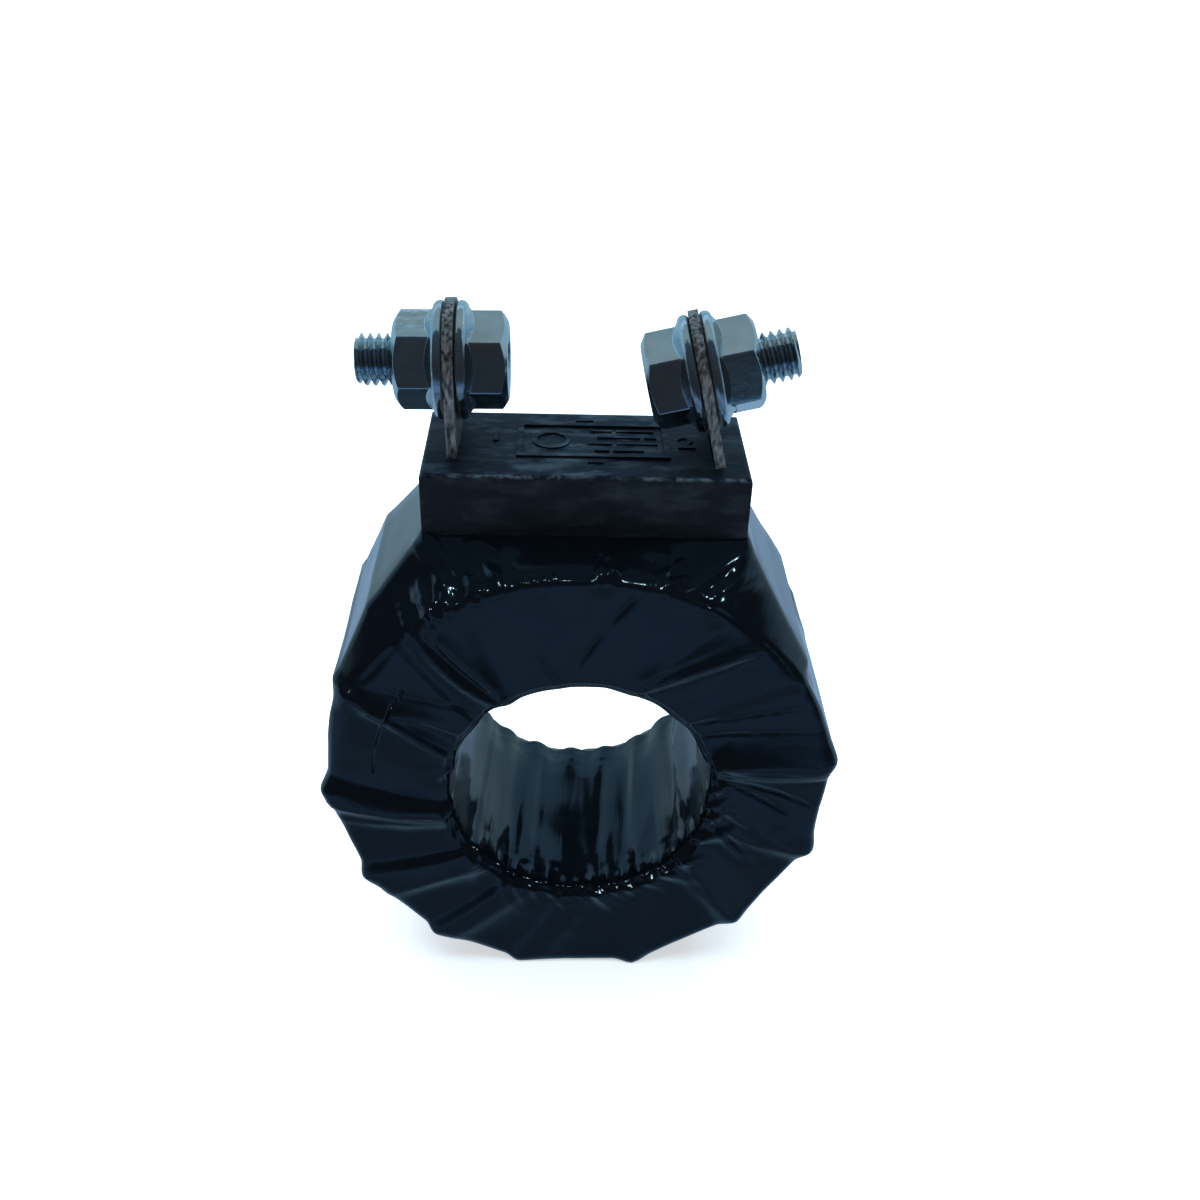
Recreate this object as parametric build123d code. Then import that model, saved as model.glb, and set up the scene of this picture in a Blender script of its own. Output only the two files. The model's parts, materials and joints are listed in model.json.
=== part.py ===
"""Window-type current transformer: a taped toroid with a two-stud terminal block.

Frame: millimetres, +Z up. The origin is the centre of the window. The window's axis is Y, the
front face looks along -Y, and the terminal block stands on top of the ring, in line with X.
"""
import os
from math import acos, atan2, cos, degrees, hypot, radians, sin

from build123d import *

# ---- core, winding and insulation -------------------------------------------------------------
core_build = 6.6              # radial build of the rolled steel strip
core_width = 21.5             # along Y
end_ring_build = 0.8          # pressboard ring on each face of the core
crepe_build = 0.5             # crepe paper wrap over the core
wire_diameter = 1.8           # enamelled copper of the secondary
film_build = 0.5              # polyester film over the winding
film_fold_width = 1.6         # chamfer where the film turns over an edge
layer_gap = 0.05              # clearance between nested layers

# ---- tape wrap --------------------------------------------------------------------------------
window_radius = 16.5          # clear bore for the primary conductor
tape_build = 0.8              # thickness of the tape layers
lap_rise = 0.55               # how far the end of a lap stands above the next one
outer_fold_width = 1.3        # chamfer where the tape turns over the outer edge
bore_fold_width = 1.8         # chamfer where the tape turns into the window
bore_flute = 0.35             # how far the start of a lap stands back from the window
flat_sink = 1.1               # lowest lap pressed flat by this much, where the ring stands

# Laps are laid by hand, so they are uneven. Each edge has its angle from +Z towards +X, and how
# far the tape stands off (or is drawn in from) its taut line there.
side_laps = [
    (54.0, 0.8), (80.0, 0.2), (107.0, -0.3), (136.0, -0.5), (165.5, 0.0), (194.5, 0.0),
    (217.0, -0.1), (242.0, -0.3), (270.0, 0.0), (299.0, 2.0), (315.0, 2.4),
]
lap_slant = 1 / 3             # share of a lap by which the tape reaches the window early, on each face
# Tape bunched up at the outer corners of the ring, at the end of each lap from the top clockwise.
corner_ears = [0.0, 0.0, 0.2, 0.5, 0.4, 0.4, 0.2, 0.2, 0.5, 0.4, 0.3, 0.0, 0.0, 0.0]
# Folds pulled into the tape on each face. Each has the angle and radius at its inner and its outer
# end, its height in the middle, and half its width there.
front_folds = [
    ((26.0, 19.2), (38.0, 30.0), 0.5, 1.3), ((76.0, 18.9), (85.0, 30.5), 0.6, 1.5),
    ((105.0, 19.1), (115.0, 28.5), 0.5, 1.1), ((150.0, 18.9), (157.0, 29.0), 0.4, 1.5),
    ((229.0, 18.9), (235.0, 30.5), 0.5, 1.3), ((255.0, 18.9), (264.5, 30.5), 0.6, 1.4),
    ((303.0, 19.1), (294.5, 30.0), 0.6, 1.6), ((324.0, 19.0), (321.0, 31.5), 0.7, 1.3),
]
rear_folds = [
    ((44.0, 19.0), (35.0, 30.5), 0.6, 1.4), ((97.0, 19.1), (88.0, 30.0), 0.5, 1.4),
    ((128.0, 18.9), (118.0, 29.5), 0.5, 1.2), ((182.0, 19.0), (176.0, 29.0), 0.4, 1.5),
    ((236.0, 18.9), (227.0, 30.0), 0.6, 1.3), ((284.0, 19.1), (275.0, 30.5), 0.5, 1.5),
    ((325.0, 19.0), (316.0, 31.0), 0.6, 1.4),
]

# ---- terminal block ---------------------------------------------------------------------------
block_length = 38.4           # along X
block_depth = 17.4            # along Y
tape_rise = 2.1               # top of the ring to the line where the tape meets the block
block_face = 7.7              # height of the block above that line
wing_reach = 4.2              # saddle wing beyond each end of the block, under the tape
block_edge = 0.5              # rounding of the block's upper edges
frame_length = 18.2           # raised border round the marking field
frame_depth = 9.0
frame_shift = 0.9             # marking field off the block's centre, along X
frame_line = 0.7              # width of the raised border
frame_back = 0.6              # marking field behind the block's centre line
relief_height = 0.3           # height of everything raised on the top face
pocket_length = 7.0           # wiring pockets under the block
pocket_depth = 9.0
pocket_shift = 1.5            # middle of each pocket, inside of its tab
roof_build = 4.8              # solid top of the block, over the wiring pockets

# ---- tabs -------------------------------------------------------------------------------------
tab_inset = 3.6               # end of the block to the middle of the tab
tab_thickness = 1.2
tab_width = 14.2
tail_width = 6.0              # part of the tab that goes down through the block
tail_reach = 3.0              # tail below the pocket's roof
tab_hole_height = 9.7         # block's top face to the hole, along the tab
tab_hole_radius = 3.3
tab_clearance = 0.05          # slot in the block round the tab
left_lean = -0.7              # degrees that the tab leans towards the block's middle
right_lean = 13.6             # this one has been bent inwards
left_shift = 1.4              # tab off the block's centre line, along Y
right_shift = 0.0

# ---- M6 flange bolts and flange nuts ----------------------------------------------------------
thread_radius = 3.0           # crests, drawn where the thread is free
pitch_radius = 2.675          # drawn where the nut is on the thread
bolt_length = 11.7            # under the head
hex_across_flats = 10.0
flange_radius = 6.8
flange_rim = 1.1              # height of the straight part of the flange's edge
flange_edge = 0.25            # chamfers on that edge
flange_shoulder = 0.4         # flat ring behind it
flange_height = 2.2           # seat to where the hexagon starts
corner_cut = 30.0             # degrees, slope of the turned corners of each hexagon
corner_land = 0.15            # turned circle inside the flats, at the top of each hexagon
head_height = 6.0
nut_height = 6.0
head_dish_radius = 3.4        # dish in the top of the bolt head
head_dish_depth = 0.6
point_chamfer = 0.5           # chamfer at the end of the bolt
seat_gap = 0.02               # head and nut to the tab
thread_clearance = 0.05       # bolt in the nut
nut_countersink = 0.5         # at both ends of the nut's thread
left_head_turn = 48.5         # degrees that each hexagon is turned about its bolt
left_nut_turn = 18.5
right_head_turn = 12.5
right_nut_turn = 55.0

# ---- leads ------------------------------------------------------------------------------------
sleeve_wall = 0.4             # varnished sleeve over each lead
sleeve_clearance = 0.05
lead_overlap = 2.4            # length of lead soldered to the tail
solder_wall = 0.5

# ---- derived, from the window outwards --------------------------------------------------------
half_tab = tab_thickness / 2
head_circle = hex_across_flats / 2
corner_length = block_length / 2
tab_x = corner_length - tab_inset
lead_radius = wire_diameter / 2
sleeve_radius = lead_radius + sleeve_clearance + sleeve_wall

film_skin = tape_build + layer_gap
winding_skin = film_build + layer_gap
crepe_skin = wire_diameter + layer_gap
core_skin = crepe_build + layer_gap

film_inner = window_radius + bore_flute + film_skin
winding_inner = film_inner + winding_skin
crepe_inner = winding_inner + crepe_skin
core_inner = crepe_inner + core_skin
core_outer = core_inner + core_build
crepe_outer = core_outer + core_skin
winding_outer = crepe_outer + crepe_skin
film_outer = winding_outer + winding_skin

core_half = core_width / 2
crepe_half = core_half + end_ring_build + layer_gap + core_skin
winding_half = crepe_half + crepe_skin
film_half = winding_half + winding_skin
half_width = film_half + film_skin
corner_offset = 2 - 2**0.5    # share of a skin's thickness that its inner chamfer is smaller by
winding_fold = film_fold_width - film_build * corner_offset
crepe_fold = winding_fold - wire_diameter * corner_offset

# The laps are straight across, so the ring stands proud enough for the middle of the widest one
# to clear the film.
widest_lap = max(end[0] - start[0] for start, end in zip(side_laps, side_laps[1:]))
deepest_draw = min(swell for angle, swell in side_laps)
ring_radius = (film_outer + layer_gap) / cos(radians(widest_lap / 2)) + tape_build - deepest_draw
tape_line = ring_radius + tape_rise
block_top = tape_line + block_face
pocket_roof = block_top - roof_build
tail_foot = pocket_roof - tail_reach
corner_angle = degrees(atan2(corner_length, tape_line))
corner_radius = hypot(corner_length, tape_line)
tangent_angle = corner_angle + degrees(acos(ring_radius / corner_radius))
lap_edges = [(0.0, 0.0), (corner_angle, 0.0)] + side_laps + [(360.0 - corner_angle, 0.0)]
laps = list(zip(lap_edges, lap_edges[1:] + [(360.0, 0.0)]))


def shoulder(angle):
    """Where the taut tape crosses the radial plane at this angle: radius, and half its width.

    Over the block the tape is level with the tape line. Past each corner it runs straight to the
    ring and meets it at a tangent, spreading from the block's depth to the ring's width.
    """
    turn = abs((angle + 180.0) % 360.0 - 180.0)
    narrow = block_depth / 2
    if turn <= corner_angle + 1e-6:
        return tape_line / cos(radians(turn)), narrow
    if turn >= tangent_angle:
        return ring_radius, narrow
    radius = ring_radius / cos(radians(tangent_angle - turn))
    run = ring_radius * (sin(radians(tangent_angle - turn)) / cos(radians(tangent_angle - turn)))
    whole = (corner_radius**2 - ring_radius**2) ** 0.5
    share = 1.0 - run / whole
    return radius, narrow + share * (half_width - outer_fold_width - narrow)


def half_outline(edge, grow, bore, ear=0.0):
    """Half outline of the wrap at this lap edge, as radii and depths from the window outwards."""
    angle, swell = edge
    over_radius, over_half = shoulder(angle)
    on_block = over_radius > ring_radius
    rim = ring_radius + grow + ear + (0.0 if on_block else swell)
    face = half_width + grow
    over_radius += grow + swell
    over_half += grow
    edge_fold = outer_fold_width + grow * corner_offset
    window_fold = bore_fold_width + grow * corner_offset
    slope = hypot(over_radius - rim, face - over_half)
    fold_radius = rim + edge_fold * (over_radius - rim) / slope
    fold_face = face - edge_fold * (face - over_half) / slope
    return [
        (bore, face - window_fold),
        (bore + window_fold, face),
        (rim - edge_fold, face),
        (fold_radius, fold_face),
        (over_radius, over_half),
    ]


def ring_point(angle, radius, y):
    """Point at this angle and radius about the window's axis."""
    return radius * sin(radians(angle)), y, radius * cos(radians(angle))


def lap_place(place):
    """Angle and stand-off at a place along the ring, counted in laps."""
    turns, place = divmod(place, len(laps))
    (start_angle, start_swell), (end_angle, end_swell) = laps[int(place)]
    share = place % 1.0
    angle = start_angle + share * ((end_angle - start_angle) % 360.0)
    return angle + 360.0 * turns, start_swell + share * (end_swell - start_swell)


def lap_line(place, grow, bore, ear=0.0):
    """Edge of a lap once round the wrap: straight across the rim, slanted over both faces."""
    half = half_outline(lap_place(place), grow, bore, ear)
    slants = [lap_slant, lap_slant, 0.0, 0.0, 0.0]
    front = [ring_point(lap_place(place - slant)[0], r, -y) for (r, y), slant in zip(half, slants)]
    rear = [ring_point(lap_place(place + slant)[0], r, y) for (r, y), slant in zip(half, slants)]
    return front + rear[::-1]


def flat_faced(faces):
    """Solid between these flat faces, each given by its corners."""
    return Solid(Shell([Face(Wire.make_polygon(corners, close=True)) for corners in faces]))


def laid_laps():
    """Outside of the wrap. Each lap rises to its end, and they are one long helix of tape."""
    lines = []
    for lap in range(len(laps)):
        lines.append(lap_line(lap, 0.0, window_radius + bore_flute))
        lines.append(lap_line(lap + 1, lap_rise, window_radius - lap_rise, corner_ears[lap]))
    # In the window, each lap goes on into the next one.
    starts = [line[0] for line in lines]
    lines = [line + [following] for line, following in zip(lines, starts[2:] + starts[:2])]
    faces = []
    for line, following in zip(lines, lines[1:] + lines[:1]):
        for row in range(len(line) - 1):
            faces.append((line[row], following[row], following[row + 1]))
            faces.append((line[row], following[row + 1], line[row + 1]))
    return flat_faced(faces)


def face_fold(fold, side):
    """Low ridge on one face, running out to nothing at both ends and rooted in the tape."""
    inner, outer, height, reach = fold
    face = side * half_width
    root = side * (half_width - tape_build / 2)
    start = Vector(*ring_point(*inner, face))
    stop = Vector(*ring_point(*outer, face))
    middle = (start + stop) / 2
    sideways = (stop - start).cross(Vector(0, 1, 0)).normalized() * reach
    base = [start, middle + sideways, stop, middle - sideways]
    foot = [Vector(point.X, root, point.Z) for point in base]
    top = middle + Vector(0, side * (height + lap_rise / 2), 0)
    faces = [foot]
    for corner in range(4):
        after = (corner + 1) % 4
        faces.append((base[corner], base[after], top))
        faces.append((base[corner], base[after], foot[after], foot[corner]))
    return flat_faced(faces)


def inner_room():
    """Space inside the wrap: one straight-sided loft for each lap, fused into a ring."""
    bore = window_radius + bore_flute + tape_build
    lofts = []
    for pair in laps:
        sections = []
        for edge in pair:
            half = half_outline(edge, -tape_build, bore)
            outline = [(r, -y) for r, y in half] + half[::-1]
            corners = [ring_point(edge[0], r, y) for r, y in outline]
            sections.append(Face(Wire.make_polygon(corners, close=True)))
        lofts.append(loft(sections, ruled=True))
    return Part() + lofts


def ring(outer, inner, half, fold=0.0):
    """Ring about the window's axis, with its four edges chamfered."""
    body = Rot(90, 0, 0) * (Cylinder(outer, 2 * half) - Cylinder(inner, 2 * half))
    if fold > 0.0:
        body = chamfer(body.edges().filter_by(GeomType.CIRCLE), fold)
    return body


def skin(outer, inner, half, build, fold):
    """Hollow ring of this wall thickness, closed all round."""
    inside = ring(outer - build, inner + build, half - build, fold - build * corner_offset)
    return ring(outer, inner, half, fold) - inside


def column(x, y, radius, low, high):
    """Upright cylinder between two heights."""
    return Pos(x, y, (low + high) / 2) * Cylinder(radius, high - low)


def slab(length, depth, low, high):
    """Upright box about the Z axis between two heights."""
    return Pos(0, 0, (low + high) / 2) * Box(length, depth, high - low)


# ---- one side of the terminals ----------------------------------------------------------------
class Terminal:
    """Places of one terminal: side is -1 on the left and 1 on the right."""

    def __init__(self, side, lean, shift, head_turn, nut_turn):
        self.side = side
        self.root = Pos(side * tab_x, shift, block_top + half_tab)
        self.shift = shift
        self.head_turn = head_turn
        self.nut_turn = nut_turn
        # Local frame of the tab above the block: Z runs up the tab, X points away from the
        # block's middle, square to the tab.
        turn = Rot(0, 0, 180) if side < 0 else Rot(0, 0, 0)
        self.blade = self.root * turn * Rot(0, -lean, 0)
        self.hole = self.blade * Pos(0, 0, tab_hole_height - half_tab)
        self.bolt = self.hole * Rot(0, 90, 0)
        self.lead_x = side * (tab_x - half_tab - tab_clearance - lead_radius)


left = Terminal(-1, left_lean, left_shift, left_head_turn, left_nut_turn)
right = Terminal(1, right_lean, right_shift, right_head_turn, right_nut_turn)


def hexagon(height):
    """Hexagonal prism standing on Z = 0 with the corners of its top turned off."""
    up = (Align.CENTER, Align.CENTER, Align.MIN)
    corner = head_circle / cos(radians(30))
    top = head_circle - corner_land
    drop = (corner - top) * sin(radians(corner_cut)) / cos(radians(corner_cut))
    prism = extrude(RegularPolygon(head_circle, 6, major_radius=False), height)
    turned = Cylinder(corner, height - drop, align=up)
    turned += Pos(0, 0, height - drop) * Cone(corner, top, drop, align=up)
    return prism & turned


def flange():
    """Washer-like flange with a straight rim and a coned back."""
    profile = Polyline(
        (0, 0), (flange_radius - flange_edge, 0), (flange_radius, flange_edge),
        (flange_radius, flange_rim), (flange_radius - flange_shoulder, flange_rim + flange_edge),
        (head_circle, flange_height), (0, flange_height),
        close=True,
    )
    return revolve(Plane.XZ * make_face(profile), Axis.Z)


def bolt(terminal):
    """Flange bolt: the head is on the inner side of the tab and the shank points outwards."""
    head = flange() + Rot(0, 0, terminal.head_turn) * hexagon(head_height)
    dish = Pos(0, 0, head_height - head_dish_depth) * Cone(
        head_dish_radius - head_dish_depth, head_dish_radius, head_dish_depth,
        align=(Align.CENTER, Align.CENTER, Align.MIN),
    )
    nut_face = tab_thickness + 2 * seat_gap
    free = nut_face + nut_height
    profile = Polyline(
        (0, 0), (thread_radius, 0), (thread_radius, nut_face), (pitch_radius, nut_face),
        (pitch_radius, free), (thread_radius, free), (thread_radius, bolt_length - point_chamfer),
        (thread_radius - point_chamfer, bolt_length), (0, bolt_length),
        close=True,
    )
    shank = revolve(Plane.XZ * make_face(profile), Axis.Z)
    seat = Pos(0, 0, -half_tab - seat_gap)
    return terminal.bolt * seat * (shank + Rot(180, 0, 0) * (head - dish))


def nut(terminal):
    """Flange nut on the outer side of the tab."""
    body = flange() + Rot(0, 0, terminal.nut_turn) * hexagon(nut_height)
    bore = pitch_radius + thread_clearance
    mouth = bore + nut_countersink
    profile = Polyline(
        (0, 0), (mouth, 0), (bore, nut_countersink), (bore, nut_height - nut_countersink),
        (mouth, nut_height), (0, nut_height),
        close=True,
    )
    thread = revolve(Plane.XZ * make_face(profile), Axis.Z)
    return terminal.bolt * Pos(0, 0, half_tab + seat_gap) * (body - thread)


def tab(terminal):
    """Steel strip: narrow tail through the block, round-topped blade above it."""
    down = (Align.CENTER, Align.CENTER, Align.MAX)
    up = (Align.CENTER, Align.CENTER, Align.MIN)
    tail = Box(tab_thickness, tail_width, block_top + half_tab - tail_foot, align=down)
    knuckle = Rot(90, 0, 0) * Cylinder(half_tab, tab_width)
    blade = Box(tab_thickness, tab_width, tab_hole_height - half_tab, align=up)
    crown = Rot(0, 90, 0) * Cylinder(tab_width / 2, tab_thickness)
    hole = Rot(0, 90, 0) * Cylinder(tab_hole_radius, 2 * tab_thickness)
    strip = terminal.root * (tail + knuckle) + terminal.blade * blade + terminal.hole * crown
    return strip - terminal.hole * hole


def lead_seat(terminal):
    """Height at which a lead leaves the outside of the winding."""
    reach = abs(terminal.lead_x) - lead_radius
    return (winding_outer**2 - reach**2) ** 0.5 + layer_gap


def lead(terminal):
    """Winding end, straight up to the tail of the tab."""
    return column(
        terminal.lead_x, terminal.shift, lead_radius, lead_seat(terminal), tail_foot + lead_overlap
    )


def sleeve(terminal):
    """Varnished sleeve over the lead, from the winding to the foot of the tail."""
    low = lead_seat(terminal) + sleeve_wall + sleeve_clearance
    tube = column(terminal.lead_x, terminal.shift, sleeve_radius, low, tail_foot - layer_gap)
    core = column(terminal.lead_x, terminal.shift, lead_radius + sleeve_clearance, low, tail_foot)
    return tube - core


def solder(terminal, strip, wire):
    """Fillet of solder that holds the lead to the inner face of the tail."""
    middle = terminal.lead_x
    blob = Pos(middle, terminal.shift, tail_foot + lead_overlap / 2) * Box(
        2 * (lead_radius + tab_clearance), 2 * (lead_radius + solder_wall), lead_overlap - 2 * layer_gap
    )
    blob = fillet(blob.edges().filter_by(Axis.Z), solder_wall / 2)
    return blob - strip - wire


def lead_hole(terminal, low, high):
    """Way for one sleeved lead."""
    return column(terminal.lead_x, terminal.shift, sleeve_radius + layer_gap, low, high)


def block_saddle():
    """Base of the block: wings that slope down under the tape on both sides."""
    reach = corner_length + wing_reach
    steep = radians(tangent_angle)
    drop = wing_reach * sin(steep) / cos(steep)
    top = tape_line - tape_build - layer_gap
    half = [(corner_length - tape_build, top), (reach - tape_build, top - drop), (reach - tape_build, 0)]
    outline = [(-x, z) for x, z in half] + [(x, z) for x, z in reversed(half)]
    profile = Plane.XZ * make_face(Polyline(*outline, close=True))
    return extrude(profile, block_depth / 2 - layer_gap, both=True)


def terminal_block(terminals):
    """Moulded block: saddle below, wiring pockets inside, slots for the tabs, raised border."""
    body = slab(block_length, block_depth, 0, block_top)
    body = fillet(body.edges().group_by(Axis.Z)[-1], block_edge)
    body += block_saddle()
    body -= Rot(90, 0, 0) * Cylinder(film_outer + layer_gap, 2 * block_depth)
    for terminal in terminals:
        middle = terminal.side * (tab_x - pocket_shift)
        body -= Pos(middle, 0, 0) * slab(pocket_length, pocket_depth, 0, pocket_roof)
        slot = Box(
            tab_thickness + 2 * tab_clearance, tail_width + 2 * tab_clearance,
            2 * (block_top + half_tab - pocket_roof),
        )
        body -= terminal.root * slot
    border = slab(frame_length, frame_depth, block_top, block_top + relief_height)
    border -= slab(
        frame_length - 2 * frame_line, frame_depth - 2 * frame_line, block_top, block_top + relief_height
    )
    return body + Pos(frame_shift, frame_back, 0) * border


def tape_wrap():
    """The finished wrap: laps and folds outside, room for the ring and the block's saddle inside."""
    folds = [face_fold(fold, -1) for fold in front_folds] + [face_fold(fold, 1) for fold in rear_folds]
    outside = Part() + laid_laps() + folds
    wrap = outside - inner_room()
    wrap -= Rot(90, 0, 0) * Cylinder(window_radius, 4 * half_width)
    wrap -= slab(
        block_length + 2 * layer_gap, block_depth + 2 * layer_gap, tape_line - ring_radius / 2, block_top
    )
    wrap -= Pos(0, 0, flat_sink - ring_radius) * Box(
        2 * ring_radius, 4 * half_width, ring_radius, align=(Align.CENTER, Align.CENTER, Align.MAX)
    )
    return wrap


terminals = {"left": left, "right": right}
pieces = {
    "wound_core": ring(core_outer, core_inner, core_half),
    "core_wrap": skin(crepe_outer, crepe_inner, crepe_half, crepe_build, crepe_fold),
    "secondary_winding": skin(winding_outer, winding_inner, winding_half, wire_diameter, winding_fold),
    "winding_film": skin(film_outer, film_inner, film_half, film_build, film_fold_width),
    "tape_wrap": tape_wrap(),
    "terminal_block": terminal_block(terminals.values()),
}
for name, side in (("front", -1), ("rear", 1)):
    place = side * (core_half + layer_gap + end_ring_build / 2)
    pieces["end_ring_" + name] = Pos(0, place, 0) * ring(core_outer, core_inner, end_ring_build / 2)
for name, terminal in terminals.items():
    pieces["tab_" + name] = tab(terminal)
    pieces["bolt_" + name] = bolt(terminal)
    pieces["nut_" + name] = nut(terminal)
    pieces["lead_" + name] = lead(terminal)
    pieces["sleeve_" + name] = sleeve(terminal)
    pieces["solder_" + name] = solder(terminal, pieces["tab_" + name], pieces["lead_" + name])
    pieces["winding_film"] -= lead_hole(terminal, 0, block_top)

os.makedirs("parts", exist_ok=True)
for name, piece in pieces.items():
    export_step(piece, os.path.join("parts", name + ".step"))
    print(f"{name:18s} {piece.volume:9.1f} mm3")
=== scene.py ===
import json
import math

import bmesh
import bpy
import numpy as np
from mathutils import Matrix, Vector, noise


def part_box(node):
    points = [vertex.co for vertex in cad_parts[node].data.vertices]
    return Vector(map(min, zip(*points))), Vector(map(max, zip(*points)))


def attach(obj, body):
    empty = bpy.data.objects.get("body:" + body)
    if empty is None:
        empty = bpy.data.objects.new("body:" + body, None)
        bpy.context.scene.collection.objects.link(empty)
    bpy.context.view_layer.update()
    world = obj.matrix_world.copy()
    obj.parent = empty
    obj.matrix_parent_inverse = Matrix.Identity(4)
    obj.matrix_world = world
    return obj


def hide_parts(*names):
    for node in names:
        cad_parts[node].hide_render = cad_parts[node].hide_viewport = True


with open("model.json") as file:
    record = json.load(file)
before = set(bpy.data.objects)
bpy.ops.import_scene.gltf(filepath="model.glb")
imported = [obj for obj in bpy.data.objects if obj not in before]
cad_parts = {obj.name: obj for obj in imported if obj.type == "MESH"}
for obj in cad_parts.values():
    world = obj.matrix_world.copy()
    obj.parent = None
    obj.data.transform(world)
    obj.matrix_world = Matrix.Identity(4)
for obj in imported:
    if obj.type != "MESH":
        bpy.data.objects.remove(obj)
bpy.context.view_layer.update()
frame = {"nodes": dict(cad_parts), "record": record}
nodes = frame["nodes"]
mounts = {mount["name"]: mount for mount in frame["record"]["mounts"]}
scene = bpy.context.scene
mm = 0.001
restLevel = mounts["rest"]["pos_m"][2]
print("frame loaded:", len(nodes), "nodes")


def linear(hexColour):    # sRGB hex to a linear RGBA colour
    parts = [int(hexColour[i:i + 2], 16) / 255 for i in (0, 2, 4)]
    return [c / 12.92 if c <= 0.04045 else ((c + 0.055) / 1.055) ** 2.4 for c in parts] + [1.0]


def addNode(tree, kind, inputs=None, **settings):    # one node with its settings, values and links
    node = tree.nodes.new(kind)
    for name, value in settings.items():
        setattr(node, name, value)
    for key, value in (inputs or {}).items():
        if isinstance(value, bpy.types.NodeSocket):
            tree.links.new(value, node.inputs[key])
        else:
            node.inputs[key].default_value = value
    return node


def perMetre(size):    # a pattern's scale: how many features of this size in mm fit in a metre
    return round(1 / (size * mm))


def startMaterial(name):    # empty material with its output, ready for a shader
    material = bpy.data.materials.new(name)
    material.use_nodes = True
    material.node_tree.nodes.clear()
    return material, material.node_tree


def finishMaterial(material, shader):
    addNode(material.node_tree, "ShaderNodeOutputMaterial", {"Surface": shader.outputs["BSDF"]})
    return material


def smoothstep(low, high, value):
    t = np.clip((value - low) / (high - low), 0, 1)
    return t * t * (3 - 2 * t)


def linkMesh(name, mesh, material):
    mesh.materials.clear()
    mesh.materials.append(material)
    piece = bpy.data.objects.new(name, mesh)
    scene.collection.objects.link(piece)
    return piece


def dressPiece(piece, slotName, *replaced):    # rides on the one body and stands for these nodes
    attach(piece, "root")
    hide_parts(*replaced)


def applyModifiers(piece):    # the evaluated mesh becomes the piece's own
    bpy.context.view_layer.update()
    graph = bpy.context.evaluated_depsgraph_get()
    mesh = bpy.data.meshes.new_from_object(piece.evaluated_get(graph))
    piece.modifiers.clear()
    piece.data = mesh
    return mesh


camera = {
    "place": (-2.7 * mm, -140.9 * mm, 111.04 * mm),
    "pan": -1.74, "tilt": 54.94, "roll": 1.79,
    "lens": 38.685, "shift": (0.0063, 0.0418),
}
lens = bpy.data.cameras.new("camera")
lens.lens = camera["lens"]
lens.sensor_width = 36
lens.shift_x, lens.shift_y = camera["shift"]
lens.clip_start, lens.clip_end = 1 * mm, 10
cameraObject = bpy.data.objects.new("camera", lens)
turn = Matrix.Rotation(math.radians(camera["pan"]), 4, "Z")
turn = turn @ Matrix.Rotation(math.radians(camera["tilt"]), 4, "X")
turn = turn @ Matrix.Rotation(math.radians(camera["roll"]), 4, "Z")
cameraObject.matrix_world = Matrix.Translation(camera["place"]) @ turn
scene.collection.objects.link(cameraObject)
scene.camera = cameraObject
scene.view_settings.view_transform = "Standard"
print("camera set")

studio = {
    "floorSize": 4.0, "floorColour": "f4f5f6", "floorGlow": 0.6,
    "coolWhite": "cfe6f2",
    "strength": 1.6,
    # what the part mirrors in front and behind: height of the direction, from -1 to 1, and colour
    "frontSweep": [
        (-1.0, "6d90a8"), (-0.90, "5a7a94"), (-0.84, "48627c"), (-0.73, "40546c"), (-0.656, "51667f"),
        (-0.56, "567397"), (-0.46, "4b6687"), (-0.36, "36495f"), (-0.27, "26313d"), (-0.14, "222a33"),
        (0.2, "272b31"), (1.0, "303d4b")],
    "backSweep": [
        (-1.0, "7692ad"), (-0.35, "7692ad"), (-0.2, "83a0b0"), (0.0, "83a0b0"), (0.12, "7e9fb8"),
        (0.58, "6b90ae"), (0.626, "6486a6"), (0.650, "1a2530"), (1.0, "36475a")],
    # wide soft light over the part: strength, and its spread and tilt in degrees
    "overhead": 5.6, "overheadSpread": 80, "overheadTilt": -18,
    # small lamps for the glints of the crumpled tape: place, size and power
    "sparkLamps": [(-0.10, -0.42, 0.46, 0.05, 0.7), (0.22, -0.30, 0.52, 0.05, 0.7)],
    # soft card over the terminals, which their upper faces mirror: x, middle y, z, width, depth
    "card": (0.0, 0.09, 0.15, 0.26, 0.20),
    "cardColour": "c6e2ea", "cardLight": 0.46,
}


def makeFloor():
    bm = bmesh.new()
    bmesh.ops.create_grid(bm, x_segments=2, y_segments=2, size=studio["floorSize"] / 2)
    bmesh.ops.translate(bm, verts=bm.verts, vec=(0, 0, restLevel))
    mesh = bpy.data.meshes.new("floor")
    bm.to_mesh(mesh)
    material, tree = startMaterial("pale matt paper")
    shader = addNode(tree, "ShaderNodeBsdfPrincipled", {
        "Base Color": linear(studio["floorColour"]), "Roughness": 0.9, "Specular IOR Level": 0.1,
        "Emission Color": (1, 1, 1, 1), "Emission Strength": studio["floorGlow"]})
    floor = linkMesh("floor", mesh, finishMaterial(material, shader))
    floor.visible_glossy = False    # the sweep in the world shader is what the part mirrors


def makeSweep(tree, height, stops):    # colour by the height of the direction
    ramp = addNode(tree, "ShaderNodeValToRGB", {"Fac": height})
    first, last = ramp.color_ramp.elements
    first.position, first.color = (stops[0][0] + 1) / 2, linear(stops[0][1])
    last.position, last.color = (stops[-1][0] + 1) / 2, linear(stops[-1][1])
    for place, colour in stops[1:-1]:
        ramp.color_ramp.elements.new((place + 1) / 2).color = linear(colour)
    return ramp.outputs["Color"]


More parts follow.
